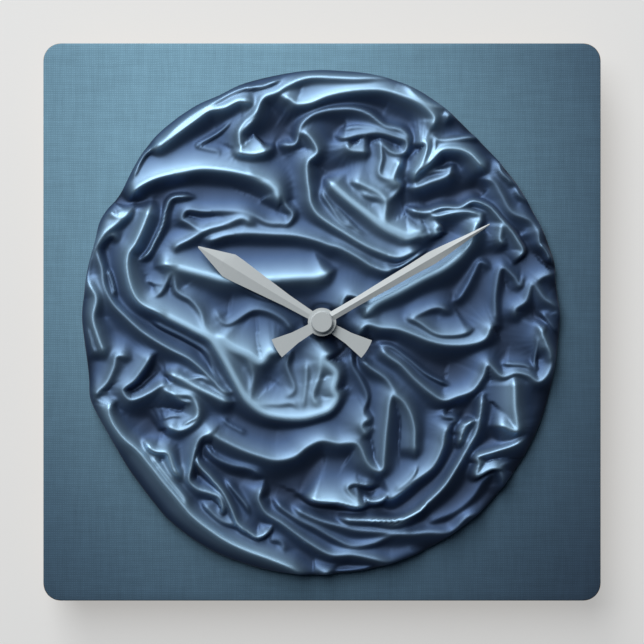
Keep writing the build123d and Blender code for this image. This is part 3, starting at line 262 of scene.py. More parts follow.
    (4.1, 1.9, 3.4, [(-79.6, -48.5), (-73, -45.7), (-65.7, -46)]),
    (7, 4.1, 2.2, [(-86.4, -61.2), (-81, -67), (-74, -76), (-67.2, -84.4), (-61.8, -93.6)]),
    (3.6, 2.4, 5.1, [(-50.6, -43.2), (-46.7, -48.6), (-40.2, -52.5), (-33.8, -56.2)]),
    (4.6, 3.4, 5.1, [(83.8, -19.7), (91.7, -20.5), (99.3, -21.3), (106, -25.9)]),
    (4.6, 1.3, 1.9, [(103.6, -1.6), (104.6, -10.6), (103.5, -20), (106.6, -27.9)]),
    (5.8, 1.9, 3.4, [(105.2, -2), (108.5, -10.2), (111, -17.3), (109.8, -23.3)]),
    (5.2, 3.4, 3.4, [(47.2, -66.4), (44.8, -73.6), (38.6, -79.8), (31.4, -83.9)]),
    (6.7, 3.4, 3.4, [(19, -82.5), (23, -87), (29, -86.5), (34, -81.5)]),
    (5.8, 2.2, 1.3, [(66.4, -56.4), (67.5, -51), (71.6, -48.1)]),
    (4.2, 1.5, 2, [(-4, -121), (8, -121.3), (20, -120.3), (30, -117.5)]),
]


def linear(code):
    """The linear colour of an sRGB hex value, with an alpha of 1."""
    parts = np.array([int(code[i:i + 2], 16) for i in (1, 3, 5)]) / 255
    return (*np.where(parts <= 0.04045, parts / 12.92, ((parts + 0.055) / 1.055) ** 2.4), 1.0)


def colour(name, code, description):
    """A colour for the sidebar."""
    return bpy.props.FloatVectorProperty(
        name=name, description=description, subtype="COLOR", size=3, min=0, max=1, default=linear(code)[:3]
    )


def length(name, value, description):
    """A length in metres for the sidebar."""
    return bpy.props.FloatProperty(
        name=name, description=description, default=value, min=0, unit="LENGTH", precision=4
    )


class ClothSizes(bpy.types.PropertyGroup):
    """The sizes of the cloth face."""

    satin_floor: length("Valley depth", 24.1 * MM, "How far the folds' valleys stand off the wall")
    satin_roll: length("Rim roll", 5 * MM, "Radius of the satin's rolled rim")
    satin_tuck: length("Tuck", 0.5 * MM, "How far the rolled rim stays off the linen")
    satin_detail: bpy.props.IntProperty(
        name="Satin rings", description="Rings of faces from the hub to the rim", default=152, min=20, max=156
    )
    linen_edge: length("Linen edge", 0.4 * MM, "Radius of the linen's edge round the board")
    corner: length("Corner", 8.5 * MM, "Corner radius of the linen")
    wadding_crown: length("Wadding height", 2.4 * MM, "Height of the wadding's crown over the linen")
    wadding_inset: length("Wadding inset", 1 * MM, "How far the wadding stays inside its CAD outline")


class ClothColours(bpy.types.PropertyGroup):
    """The colours of the cloth face."""

    # The satin's three tones are painted light: a painted highlight on the crests, a painted midtone on the
    # slopes and painted shade in the valleys.
    satin_painted_highlight: colour("Satin crests", "#A3C7E2", "The satin's dye along the crests")
    satin_painted_midtone: colour("Satin slopes", "#435A7C", "The satin's dye half way up a fold")
    satin_painted_shade: colour("Satin valleys", "#151A2B", "The satin's dye in the valleys")
    # The linen's three tones run from pale at the top to deep at the lower right, partly dye and partly painted
    # shade.
    linen_pale: colour("Linen, pale", "#84AFC5", "The linen at its top")
    linen_mid: colour("Linen, middle", "#4B677C", "The linen half way down")
    linen_deep: colour("Linen, deep", "#2A3C50", "The linen at its lower right")


class StageSizes(bpy.types.PropertyGroup):
    """The wall, the floor, the lights and the camera."""

    lens: bpy.props.FloatProperty(
        name="Lens", description="Focal length", default=100, min=20, max=300, subtype="DISTANCE_CAMERA"
    )
    share: bpy.props.FloatProperty(
        name="Share of the view", description="How much of the view the board fills", default=0.8656,
        min=0.1, max=1, subtype="FACTOR"
    )
    floor_drop: length("Floor", 0.75, "How far below the hands' axis the floor is")
    key: bpy.props.FloatProperty(name="Key light", description="Power", default=29, min=0, unit="POWER")
    fill: bpy.props.FloatProperty(name="Fill light", description="Power", default=16, min=0, unit="POWER")
    rear: bpy.props.FloatProperty(name="Rear lights", description="Power", default=22, min=0, unit="POWER")
    wall: colour("Wall", "#EBEBEA", "The painted wall and floor")


# Nodes and materials


def add(tree, kind, inputs=None, **settings):
    """Adds a node with its settings, and fills its inputs with values or with other nodes' outputs."""
    node = tree.nodes.new(kind)
    for name, value in settings.items():
        setattr(node, name, value)
    for name, value in (inputs or {}).items():
        if isinstance(value, bpy.types.NodeSocket):
            tree.links.new(value, node.inputs[name])
        else:
            node.inputs[name].default_value = value
    return node


def calc(tree, operation, *values):
    """The result of a maths node."""
    return add(tree, "ShaderNodeMath", dict(enumerate(values)), operation=operation).outputs[0]


def noise(tree, place, size_mm, detail):
    """Fractal noise with features of about this size."""
    inputs = {"Vector": place, "Scale": 1 / (size_mm * MM), "Detail": detail}
    return add(tree, "ShaderNodeTexNoise", inputs).outputs["Fac"]


def bands(tree, place, apart_mm, direction, **inputs):
    """Soft bands this far apart across a direction."""
    # The wave node's bands are 1/3.2 of a unit apart at a scale of 1.
    inputs = {"Vector": place, "Scale": 1 / (apart_mm * MM) / 3.2,
              **{k.replace("_", " "): v for k, v in inputs.items()}}
    return add(
        tree, "ShaderNodeTexWave", inputs, wave_type="BANDS", bands_direction=direction
    ).outputs["Fac"]


def mix(tree, share, first, second):
    """Two colours mixed by a share."""
    return add(tree, "ShaderNodeMix", {0: share, 6: first, 7: second}, data_type="RGBA").outputs[2]


def bump(tree, height, distance_mm, strength):
    """The normal of a fine relief."""
    inputs = {"Height": height, "Distance": distance_mm * MM, "Strength": strength}
    return add(tree, "ShaderNodeBump", inputs).outputs[0]


def new_material(name):
    """An empty material with its node tree and its output node."""
    material = bpy.data.materials.new(name)
    material.use_nodes = True
    material.node_tree.nodes.clear()
    return material, material.node_tree, add(material.node_tree, "ShaderNodeOutputMaterial")


def finish_shader(tree, output, **inputs):
    """Puts a Principled shader with these inputs on the output."""
    shader = add(tree, "ShaderNodeBsdfPrincipled", {k.replace("_", " "): v for k, v in inputs.items()})
    tree.links.new(shader.outputs[0], output.inputs[0])
    return shader


def grained(name, base, other, grain_mm, bump_mm, metallic=0.0, rough=(0.4, 0.5), stretch=(1, 1, 1),
            detail=3.0, **shader):
    """A material whose colour, gloss and relief follow one grain.

    The grain is fractal noise of the given size in the object's own coordinates, stretched along any
    axis. It mixes two colours, moves the roughness between two values and raises a fine relief.
    """
    material, tree, output = new_material(name)
    place = add(tree, "ShaderNodeTexCoord").outputs["Object"]
    place = add(tree, "ShaderNodeMapping", {"Vector": place, "Scale": stretch}).outputs[0]
    grain = noise(tree, place, grain_mm, detail)
    tint = mix(tree, grain, linear(base), linear(other))
    gloss = add(tree, "ShaderNodeMapRange", {"Value": grain, "To Min": rough[0], "To Max": rough[1]}).outputs[0]
    relief = bump(tree, grain, bump_mm, 0.6)
    finish_shader(tree, output, Base_Color=tint, Roughness=gloss, Normal=relief, Metallic=metallic, **shader)
    return material


def dye_and_light_ramp(tree, power, *tones):
    """A colour as bright as two to the given power, mixed from three tones between their own brightnesses. For
    the satin the tones are painted light, and for the linen they are partly dye and partly painted shade.
    """
    bright = calc(tree, "POWER", 2.0, power)
    marks = [float(np.dot(tone, (0.2126, 0.7152, 0.0722))) for tone in tones]
    dye_and_painted_light = (*tones[0], 1)
    for below, above, tone in zip(marks, marks[1:], tones[1:]):
        limits = {"Value": bright, "From Min": below, "From Max": above}
        share = add(tree, "ShaderNodeMapRange", limits).outputs[0]
        dye_and_painted_light = mix(tree, share, dye_and_painted_light, (*tone, 1))
    return dye_and_painted_light


def satin_cloth(colours):
    """Polyester satin: long floats of bright filament, so it shines along the crests. Its colour is painted
    light: a painted highlight along the crests and painted shade in the valleys, set by each point's rise.
    The floats are 0.12 mm apart and are drawn at 0.6 mm, as fine as the render shows."""
    material, tree, output = new_material("satin_polyester_cloth")
    weave_mm, slub_mm = 0.6, 9.0
    place = add(tree, "ShaderNodeUVMap", uv_map="cloth").outputs[0]
    floats = bands(tree, place, weave_mm, "X", Distortion=1.5, Detail=1.0, Detail_Scale=2.0)
    slub = noise(tree, place, slub_mm, 4.0)
    rise = add(tree, "ShaderNodeAttribute", attribute_name="rise").outputs["Fac"]
    # Painted light: the satin runs from painted shade in the valleys to a painted highlight on the crests, by
    # each point's rise.
    power = calc(tree, "MULTIPLY_ADD", rise, SATIN_PAINTED_LIGHT[1], SATIN_PAINTED_LIGHT[0])
    dye_and_painted_light = dye_and_light_ramp(tree, power, colours.satin_painted_shade, colours.satin_painted_midtone, colours.satin_painted_highlight)
    gloss = add(tree, "ShaderNodeMapRange", {"Value": slub, "To Min": 0.5, "To Max": 0.58}).outputs[0]
    relief = bump(tree, floats, 0.02, 0.25)
    finish_shader(
        tree, output, Base_Color=dye_and_painted_light, Roughness=gloss, Normal=relief, Metallic=0.8, Sheen_Weight=0.1,
        Sheen_Roughness=0.4,
    )
    return material


def woven_linen(colours):
    """Plain-woven linen, pale at the upper left and deep at the lower right, partly dip-dyed and partly
    painted shade. Its threads are 0.45 mm apart and are drawn at 1.1 mm, as fine as the render shows, with
    slubs in both directions."""
    material, tree, output = new_material("linen_plain_weave")
    thread_mm, slub_mm, cloud_mm = 1.1, 1.6, 70
    place = add(tree, "ShaderNodeTexCoord").outputs["Object"]
    split = add(tree, "ShaderNodeSeparateXYZ", {0: place})
    right, up = split.outputs["X"], split.outputs["Z"]
    warp, weft = (
        bands(tree, place, thread_mm, direction, Distortion=2.2, Detail=2.0, Detail_Scale=1.3)
        for direction in ("X", "Z")
    )
    weave = calc(tree, "MULTIPLY", warp, weft)
    slubs = []
    for stretch in ((0.12, 1, 1), (1, 1, 0.12)):
        along = add(tree, "ShaderNodeMapping", {"Vector": place, "Scale": stretch}).outputs[0]
        slubs.append(noise(tree, along, slub_mm, 2.0))
    slub = calc(tree, "ADD", *slubs)
    # The colour deepens to the right, downwards and towards the edges, partly dye and partly painted shade:
    # its brightness is two to the power of a sum of the place along each axis and of its square.
    power = calc(tree, "MULTIPLY_ADD", right, LINEN_DYE_AND_SHADE[1], LINEN_DYE_AND_SHADE[0])
    power = calc(tree, "MULTIPLY_ADD", up, LINEN_DYE_AND_SHADE[2], power)
    for first, second, factor in zip((right, right, up), (right, up, up), LINEN_DYE_AND_SHADE[3:]):
        power = calc(tree, "MULTIPLY_ADD", calc(tree, "MULTIPLY", first, second), factor, power)
    power = calc(tree, "MULTIPLY_ADD", noise(tree, place, cloud_mm, 3.0), -0.2, power)
    dye_and_painted_light = dye_and_light_ramp(tree, power, colours.linen_deep, colours.linen_mid, colours.linen_pale)
    shade = add(tree, "ShaderNodeMapRange", {"Value": weave, "To Min": 0.86, "To Max": 1.12}).outputs[0]
    shade = calc(tree, "SUBTRACT", calc(tree, "MULTIPLY_ADD", slub, 0.22, shade), 0.2)
    dye_and_painted_light = add(tree, "ShaderNodeVectorMath", {0: dye_and_painted_light, "Scale": shade}, operation="SCALE").outputs[0]
    relief = bump(tree, weave, 0.12, 0.5)
    finish_shader(
        tree, output, Base_Color=dye_and_painted_light, Roughness=0.92, Normal=relief, Specular_IOR_Level=0.2, Sheen_Weight=0.08,
        Sheen_Roughness=0.6,
    )
    return material


def wound_wire():
    """Enamelled copper wire, wound in close turns along the coil. The wire is 0.05 mm and is drawn at
    0.35 mm, so that its turns show."""
    material, tree, output = new_material("enamelled_copper_winding")
    place = add(tree, "ShaderNodeTexCoord").outputs["Object"]
    turns = bands(tree, place, 0.35, "X", Distortion=0.6)
    tint = mix(tree, turns, linear("#6E2F16"), linear("#C4703A"))
    relief = bump(tree, turns, 0.1, 1.0)
    finish_shader(tree, output, Base_Color=tint, Roughness=0.32, Metallic=0.9, Normal=relief)
    return material


def battery_sleeve():
    """A shrunk PVC sleeve, glossy and without lettering, a third of it copper-coloured at one end."""
    material, tree, output = new_material("shrunk_pvc_sleeve")
    low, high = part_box("battery_jacket")
    place = add(tree, "ShaderNodeTexCoord").outputs["Object"]
    along = add(tree, "ShaderNodeSeparateXYZ", {0: place}).outputs["X"]
    third = low.x + (high.x - low.x) / 3
    end = add(
        tree, "ShaderNodeMapRange", {"Value": along, "From Min": third, "From Max": third + 0.1 * MM}
    ).outputs[0]
    tint = mix(tree, end, linear("#B87B45"), linear("#1B1D20"))
    relief = bump(tree, noise(tree, place, 3, 2.0), 0.03, 0.4)
    finish_shader(
        tree, output, Base_Color=tint, Roughness=0.22, Normal=relief, Coat_Weight=0.4, Coat_Roughness=0.1
    )
    return material


# Surfaces


def make_piece(name, points, faces, cloth=None, rise=None):
    """A smooth mesh object from arrays of points in metres, of four-sided faces, of cloth coordinates and
    of each point's rise over the valleys, from 0 to 1."""
    mesh = bpy.data.meshes.new(name)
    mesh.vertices.add(len(points))
    mesh.vertices.foreach_set("co", points.astype(np.float32).ravel())
    mesh.loops.add(faces.size)
    mesh.loops.foreach_set("vertex_index", faces.astype(np.int32).ravel())
    mesh.polygons.add(len(faces))
    mesh.polygons.foreach_set("loop_start", np.arange(0, faces.size, 4, dtype=np.int32))
    mesh.polygons.foreach_set("use_smooth", np.ones(len(faces), bool))
    if cloth is not None:
        layer = mesh.uv_layers.new(name="cloth")
        layer.data.foreach_set("uv", cloth[faces.ravel()].astype(np.float32).ravel())
    mesh.update(calc_edges=True)
    if rise is not None:
        mesh.attributes.new("rise", "FLOAT", "POINT").data.foreach_set("value", rise.astype(np.float32))
    piece = bpy.data.objects.new(name, mesh)
    bpy.context.scene.collection.objects.link(piece)
    return piece


def ringed_grid(rings, first):
    """A square grid read as rings about its middle.

    A point's ring is the larger of its distances from the middle along the two axes, and its turn is how
    far round that ring it lies, from 0 to 1 anticlockwise from the right. The faces inside the first
    ring are left out. It returns each point's ring and turn, and the faces.
    """
    i, j = np.meshgrid(np.arange(-rings, rings + 1), np.arange(-rings, rings + 1), indexing="ij")
    ring = np.maximum(abs(i), abs(j))
    side = np.where(ring == 0, 1, ring)
    right, top, left = (i == ring), (j == ring), (i == -ring)
    turn = np.where(
        right & (abs(j) < ring) | (right & top), j / side,
        np.where(top, 2 - i / side, np.where(left, 4 - j / side, 6 + i / side)),
    ) / 8
    index = np.arange(i.size).reshape(i.shape)
    faces = np.stack([index[:-1, :-1], index[1:, :-1], index[1:, 1:], index[:-1, 1:]], -1).reshape(-1, 4)
    outside = ring.ravel()[faces].max(1) > first
    faces = faces[outside & (ring.ravel()[faces].min(1) >= first)]
    used = np.unique(faces)
    renumber = np.zeros(i.size, int)
    renumber[used] = np.arange(len(used))
    return ring.ravel()[used], (turn.ravel() % 1)[used], renumber[faces]


def smooth_line(points, step=1.2, closed=False):
    """Points along a Catmull-Rom spline through the given ones, about a step apart."""
    p = np.array(points, float)
    ends = (p[-1:], p[:2]) if closed else (2 * p[:1] - p[1:2], 2 * p[-1:] - p[-2:-1])
    p = np.concatenate([ends[0], p, ends[1]])
    pieces = []
    for a, b, c, d in zip(p[:-3], p[1:-2], p[2:-1], p[3:]):
        t = np.linspace(0, 1, max(2, int(np.linalg.norm(c - b) / step) + 1), endpoint=False)[:, None]
        pieces.append(0.5 * (2 * b + (c - a) * t + (2 * a - 5 * b + 4 * c - d) * t ** 2
                             + (3 * b - 3 * c + d - a) * t ** 3))
    return np.concatenate([*pieces, p[-2:-1]])


def fold_height(x, z, height, left, right, points):
    """One fold's height over the plane.

    The crest is round, with a soft ridge along it that falls off as a bell curve. Either side falls away
    as cloth hangs, by the exponential of minus the distance to the crest over the fold's width on that
    side. The side that faces up and to the left is the gentle one, and the other hangs steeper. The
    height fades in and out over the ends of the line.
    """
    line = smooth_line(points)
    reach = 5 * max(left, right)
    near = ((x > line[:, 0].min() - reach) & (x < line[:, 0].max() + reach)
            & (z > line[:, 1].min() - reach) & (z < line[:, 1].max() + reach))
    px, pz = x[near][:, None], z[near][:, None]
    start, run = line[:-1], np.diff(line, axis=0)
    size = np.maximum((run ** 2).sum(1), 1e-9)
    along = np.clip(((px - start[:, 0]) * run[:, 0] + (pz - start[:, 1]) * run[:, 1]) / size, 0, 1)
    dx, dz = px - start[:, 0] - along * run[:, 0], pz - start[:, 1] - along * run[:, 1]
    apart = np.hypot(dx, dz)
    best = apart.argmin(1)
    row = np.arange(len(best))
    side = run[best, 0] * dz[row, best] - run[best, 1] * dx[row, best]
    travelled = np.concatenate([[0], np.cumsum(np.sqrt(size))])
    place = travelled[best] + along[row, best] * np.sqrt(size[best])
    fade_over = min(9.0, 0.3 * travelled[-1])
    fade = np.clip(np.minimum(place, travelled[-1] - place) / fade_over, 0, 1)
    fade = 0.25 + 0.75 * fade * fade * (3 - 2 * fade)
    apart = apart[row, best]
    dx, dz = dx[row, best] / np.maximum(apart, 1e-6), dz[row, best] / np.maximum(apart, 1e-6)
    gentle = np.clip((dz * 0.8 - dx * 0.6) * np.clip(apart, 0, 1), -1, 1)
    width = np.where(side > 0, left, right) * (0.95 + 0.55 * gentle)
    t = (np.sqrt(apart ** 2 + CREST_RADIUS ** 2) - CREST_RADIUS) / width
    ridge = RIDGE_SHARE * np.exp(-(apart / RIDGE_WIDTH) ** 2)
    out = np.zeros(len(x))
    out[near] = height * fade * ((1.02 - RIDGE_SHARE) * np.exp(-t) + ridge)
    return out


def ease(t):
    """The smooth step from 0 to 1."""
    t = np.clip(t, 0, 1)
    return t * t * (3 - 2 * t)


def satin_relief(x, z):
    """The folds' height over the valleys at each point: a soft maximum of all folds, the fifth root of
    the sum of their fifth powers, over a slow swell of the valleys."""
    total = np.zeros(len(x))
    for height, left, right, points in FOLDS:
        total += fold_height(x, z, height, left, right, points) ** UNION
    swell = 0.5 * (np.sin(x / 7.3 + 1.4 * np.sin(z / 11)) * np.cos(z / 8.1 + np.sin(x / 13)) + 1)
    return (total + swell ** UNION) ** (1 / UNION)


def hang(piece, body, material):
    """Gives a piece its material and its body."""
    piece.data.materials.append(material)
    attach(piece, body)
    return piece


def satin_surface(sizes):
    """The satin's points in metres, its faces, its cloth coordinates and its points' rise.

    Ring by ring a point moves out from the hub along its own direction. As far as the roll it keeps its
    place under the relief, and from there it goes half a turn round the roll and comes back underneath.
    The cloth is pinched flat under the washer and rises out of it over a few millimetres.
    """
    rings = sizes.satin_detail
    hub, hole, pinched, risen = 3, 4.5, 6.7, 9.3
    ring, turn, faces = ringed_grid(rings, hub)
    angle = turn * 2 * np.pi
    outline = smooth_line(RIM, 0.8, closed=True)
    order = np.argsort(np.arctan2(outline[:, 1], outline[:, 0]))
    edge = np.interp(
        angle, np.arctan2(outline[order, 1], outline[order, 0]), np.hypot(*outline[order].T), period=2 * np.pi
    )
    roll = sizes.satin_roll / MM
    flat = (ring - hub) / (rings - hub)
    travel = hole + flat * (edge - roll - hole + np.pi * roll)
    past = np.clip((travel - (edge - roll)) / roll, 0, np.pi)
    radius = np.minimum(travel, edge - roll) + roll * np.sin(past)
    x, z = radius * np.cos(angle), radius * np.sin(angle)
    relief = satin_relief(x, z) * LIFT
    floor = sizes.satin_floor / MM
    linen = -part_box("linen_facing")[0].y / MM + sizes.satin_tuck / MM
    under_washer = -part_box("washer")[1].y / MM - 0.15
    # Nothing reaches the hands: the crests level off under the collets, the hour hand and the minute hand.
    room = 30.4 + 1.6 * ease((radius - 8) / 4) + 2.2 * ease((radius - 74) / 8)
    softness = 0.5
    top = room - softness * np.logaddexp(0, (room - floor - relief) / softness)
    top = under_washer + (top - under_washer) * ease((radius - pinched) / (risen - pinched))
    upper = (1 + np.cos(past)) / 2
    depth = linen + (top - linen) * upper
    points = np.stack([x, -depth, z], -1) * MM
    cloth = np.stack([travel * np.cos(angle), travel * np.sin(angle)], -1) * MM
    # The rise, from 0 to 1, sets the satin's painted highlight on the crests and painted shade in the valleys.
    return points, faces, cloth, np.clip(relief / FULL_HIGHLIGHT_HEIGHT, 0, 1.1) * upper


class CLOCK_OT_satin(bpy.types.Operator):
    """Makes the gathered satin, its rim rolled under"""

    bl_idname = "clock.satin"
    bl_label = "Gathered satin"

    def execute(self, context):
        scene = context.scene
        satin = make_piece("gathered_satin", *satin_surface(scene.clock_cloth))
        hang(satin, "clock_frame", satin_cloth(scene.clock_colours))
        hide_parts("satin_drape")
        return {"FINISHED"}


class CLOCK_OT_linen(bpy.types.Operator):
    """Makes the linen that is stretched over the board"""

    bl_idname = "clock.linen"
    bl_label = "Linen facing"

    def execute(self, context):
        scene = context.scene
        sizes = scene.clock_cloth
        low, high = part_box("linen_facing")
        rings, hub, edge = 40, 1, sizes.linen_edge
        ring, turn, faces = ringed_grid(rings, hub)
        # The outer three rings go a quarter turn down over the edge.
        quarter = np.clip((ring - (rings - 3)) / 3, 0, 1) * np.pi / 2
        share = np.minimum(ring, rings - 3) / (rings - 3)
        half = (high.x - low.x) / 2 - edge
        share = np.where(ring == hub, 0.0045 / half, share)
        reach, corner = half * share, np.maximum(sizes.corner - edge, 0) * share
        swell = edge * np.sin(quarter)
        reach, corner = reach + swell, corner + swell
        # Round each ring, straight sides and quarter circles share out its length.
        side = np.floor((turn * 8 + 1) / 2)
        eighth = turn * 8 - 2 * side
        straight, bend = reach - corner, corner * np.pi / 4
        gone = abs(eighth) * (straight + bend)
        bent = np.clip((gone - straight) / np.maximum(corner, 1e-9), 0, np.pi / 4)
        out = straight + corner * np.cos(bent)
        across = np.minimum(gone, straight) + corner * np.sin(bent)
        across = across * np.sign(eighth)
        which = side * np.pi / 2
        x = out * np.cos(which) - across * np.sin(which)
        z = out * np.sin(which) + across * np.cos(which)
        y = low.y + edge * (1 - np.cos(quarter))
        linen = make_piece("linen_ground", np.stack([x, y, z], -1), faces)
        wall = linen.modifiers.new("cloth thickness", "SOLIDIFY")
        wall.thickness, wall.offset = 0.3 * MM, -1
        hang(linen, "clock_frame", woven_linen(scene.clock_colours))
        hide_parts("linen_facing")
        return {"FINISHED"}


class CLOCK_OT_wadding(bpy.types.Operator):
    """Makes the crowned pad of wadding under the satin"""

    bl_idname = "clock.wadding"
    bl_label = "Wadding"

    def execute(self, context):
        scene = context.scene
        low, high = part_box("wadding_disc")
        sizes = scene.clock_cloth
        # A closed profile from the hole over the crown to the edge and back below, turned about the axis.
        count, around = 48, 160
        t = np.arange(count) / count * 2 * np.pi
        share = 0.5 - 0.5 * np.cos(t)
        height = np.where(np.sin(t) > 0, abs(np.sin(t)) ** 0.35 * sizes.wadding_crown, 0)
        hole = 6.0 * MM
        angle = np.arange(around) / around * 2 * np.pi
        reach_x, reach_z = high.x - sizes.wadding_inset, high.z - sizes.wadding_inset
        x = (hole + share[:, None] * (reach_x - hole)) * np.cos(angle)
        z = (hole + share[:, None] * (reach_z - hole)) * np.sin(angle)
        lumps = 1 + 0.04 * np.sin(x / (9 * MM)) * np.cos(z / (11 * MM))
        y = high.y - 0.05 * MM - height[:, None] * lumps
        index = np.arange(count * around).reshape(count, around)
        after, beside = np.roll(index, -1, 0), np.roll(index, -1, 1)
        faces = np.stack([index, beside, np.roll(beside, -1, 0), after], -1).reshape(-1, 4)
        wadding = make_piece("cotton_wadding", np.stack([x, y, z], -1).reshape(-1, 3), faces)
        # Cotton wadding: loose fibre in soft tufts, a few millimetres across.
        fibre = grained("cotton_wadding", "#E9E6DD", "#F6F4EE", 2.5, 0.5, rough=(0.9, 1.0), Sheen_Weight=0.3)
        hang(wadding, "clock_frame", fibre)
        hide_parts("wadding_disc")
        return {"FINISHED"}


def paint(material, *nodes):
    """Puts a material on CAD nodes."""
    for name in nodes:
        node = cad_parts[name]
        if not node.material_slots:
            node.data.materials.append(material)
        for slot in node.material_slots:
            slot.material = material


def finish(nodes, *grain, **more):
    """Gives the CAD nodes of these names a grained material."""
    paint(grained(*grain, **more), *nodes.split())


class CLOCK_OT_hands(bpy.types.Operator):
    """Finishes the hands, their collets and the nut that holds them"""

    bl_idname = "clock.hands"
    bl_label = "Hands"

    def execute(self, context):
        # Aluminium sheet, etched and anodised: pale, even and soft, with a grain of about a millimetre.
        finish(
            "hour_hand minute_hand cap_nut", "etched_anodised_aluminium", "#BCC3C5", "#C3C9CA", 1.2, 0.004,
            metallic=0.15, rough=(0.5, 0.58),
        )
        # Turned brass, free-cutting: warm, with the tool's fine rings.
        finish(
            "hour_collet minute_collet minute_pipe threaded_bush", "turned_brass", "#B8954E", "#C9A862", 0.5,
            0.004, metallic=1.0, rough=(0.25, 0.34),
        )
        return {"FINISHED"}


class CLOCK_OT_case(bpy.types.Operator):
    """Finishes the board, the movement's case and its fastening"""

    bl_idname = "clock.case"
    bl_label = "Board and case"

    def execute(self, context):
        # Medium-density fibreboard: matted brown fibre, dull.
        finish("face_board", "fibreboard", "#8E7350", "#B4966C", 0.9, 0.06, rough=(0.85, 0.95), detail=6.0)
        # Injection-moulded ABS with a spark-eroded texture, about 0.3 mm, drawn at 0.5 mm.
        finish(
            "front_case rear_cover setting_knob", "moulded_black_abs", "#17181A", "#202224", 0.5, 0.02,
            rough=(0.42, 0.55),
        )
        # Moulded rubber: dull, with a bloom.
        finish("rubber_gasket", "moulded_rubber", "#1B1A19", "#2A2927", 1.5, 0.02, rough=(0.75, 0.9))
        # Zinc-plated steel: bluish, even, with fine rolling marks.
        finish(
            "washer hex_nut motor_screws positive_contact negative_contact clutch_spring seconds_arbor",
            "zinc_plated_steel", "#A9AEB2", "#BFC3C6", 0.8, 0.004, metallic=1.0, rough=(0.26, 0.38),
            stretch=(1, 1, 0.2),
        )
        return {"FINISHED"}


class CLOCK_OT_movement(bpy.types.Operator):
    """Finishes the motor, the circuit and the wheels"""

    bl_idname = "clock.movement"
    bl_label = "Movement"

    def execute(self, context):
        # Acetal, moulded: ivory, waxy, a little light goes in.
        finish(
            "step_wheel seconds_wheel third_wheel centre_wheel rotor_pinion transfer_wheel setting_shaft",
            "moulded_acetal", "#E3DDC9", "#EFEAD9", 1.0, 0.01, rough=(0.35, 0.45),
        )
        finish("hour_wheel", "moulded_white_acetal", "#DAD9D4", "#E8E7E3", 1.0, 0.01, rough=(0.4, 0.5))
        # Nylon for the bridge and the bobbin, cloudier than acetal.
        finish("gear_bridge", "moulded_nylon", "#BFC6C4", "#D2D8D5", 1.4, 0.015, rough=(0.45, 0.55))
        finish("coil_bobbin", "moulded_green_nylon", "#2E6B52", "#3A7A60", 1.4, 0.015, rough=(0.4, 0.5))
        # Annealed silicon iron, stamped: grey with a darker scale.
        finish(
            "coil_core stator", "annealed_silicon_iron", "#6D6F72", "#8D8F92", 0.7, 0.01, metallic=0.9,
            rough=(0.4, 0.55), stretch=(0.2, 1, 1),
        )
        # Sintered ferrite: almost black, matt.
        finish(
            "rotor_magnet", "sintered_ferrite", "#26272A", "#37383C", 0.3, 0.02, metallic=0.3,
            rough=(0.6, 0.75),
        )
        paint(wound_wire(), "coil_winding")
        # Glass-epoxy laminate: green lacquer over a weave of about half a millimetre.
        finish("circuit_board", "glass_epoxy_laminate", "#1C5A38", "#27704A", 0.5, 0.01, rough=(0.25, 0.35))
        # Dispensed black epoxy: a glossy drop.
        finish("chip", "dispensed_epoxy", "#0E0E10", "#17171A", 1.8, 0.02, rough=(0.12, 0.22))
        # Drawn nickel silver: bright and even.
        finish(
            "quartz_crystal battery_can", "drawn_nickel_silver", "#B9B8B0", "#CBCAC3", 0.6, 0.003,
            metallic=1.0, rough=(0.18, 0.28),
        )
        paint(battery_sleeve(), "battery_jacket")
        # The cell's seal: nylon, grey.
        finish("battery_seal", "moulded_grey_nylon", "#7C7F82", "#8C8F92", 0.8, 0.01, rough=(0.5, 0.6))
        return {"FINISHED"}


def one_sided(material_name, tint):
    """Wall paint: a roller's faint orange peel, evenly lit for a part by a glow of its own. Seen from behind
    it lets everything through, so that the clock's back can be looked at."""
    material, tree, output = new_material(material_name)
    place = add(tree, "ShaderNodeTexCoord").outputs["Object"]
    relief = bump(tree, noise(tree, place, 4, 2.0), 0.05, 0.2)
    paint_shader = add(
        tree, "ShaderNodeBsdfPrincipled",
        {"Base Color": (*[0.48 * t for t in tint], 1), "Roughness": 0.9, "Normal": relief,
         "Emission Color": (*tint, 1), "Emission Strength": 0.5},
    ).outputs[0]
    clear = add(tree, "ShaderNodeBsdfTransparent").outputs[0]
    behind = add(tree, "ShaderNodeNewGeometry").outputs["Backfacing"]
    both = add(tree, "ShaderNodeMixShader", {0: behind, 1: paint_shader, 2: clear}).outputs[0]
    tree.links.new(both, output.inputs[0])
    return material


def stage_plane(name, points, material):
    """A four-cornered stage plane, lit but without any effect on the clock's own light."""
    mesh = bpy.data.meshes.new(name)
    mesh.from_pydata(points, [], [(0, 1, 2, 3)])
    mesh.materials.append(material)
    plane = bpy.data.objects.new(name, mesh)
    bpy.context.scene.collection.objects.link(plane)
    plane.visible_diffuse = plane.visible_glossy = plane.visible_shadow = False


def soft_light(name, place, target, size, power, tint):
    """A square softbox at a place, turned to its target."""
    data = bpy.data.lights.new(name, "AREA")
    data.shape, data.size, data.energy, data.color = "SQUARE", size, power, tint
    light = bpy.data.objects.new(name, data)
    bpy.context.scene.collection.objects.link(light)
    light.location = place
    light.rotation_euler = (Vector(target) - Vector(place)).to_track_quat("-Z", "Y").to_euler()
    light.visible_camera = False


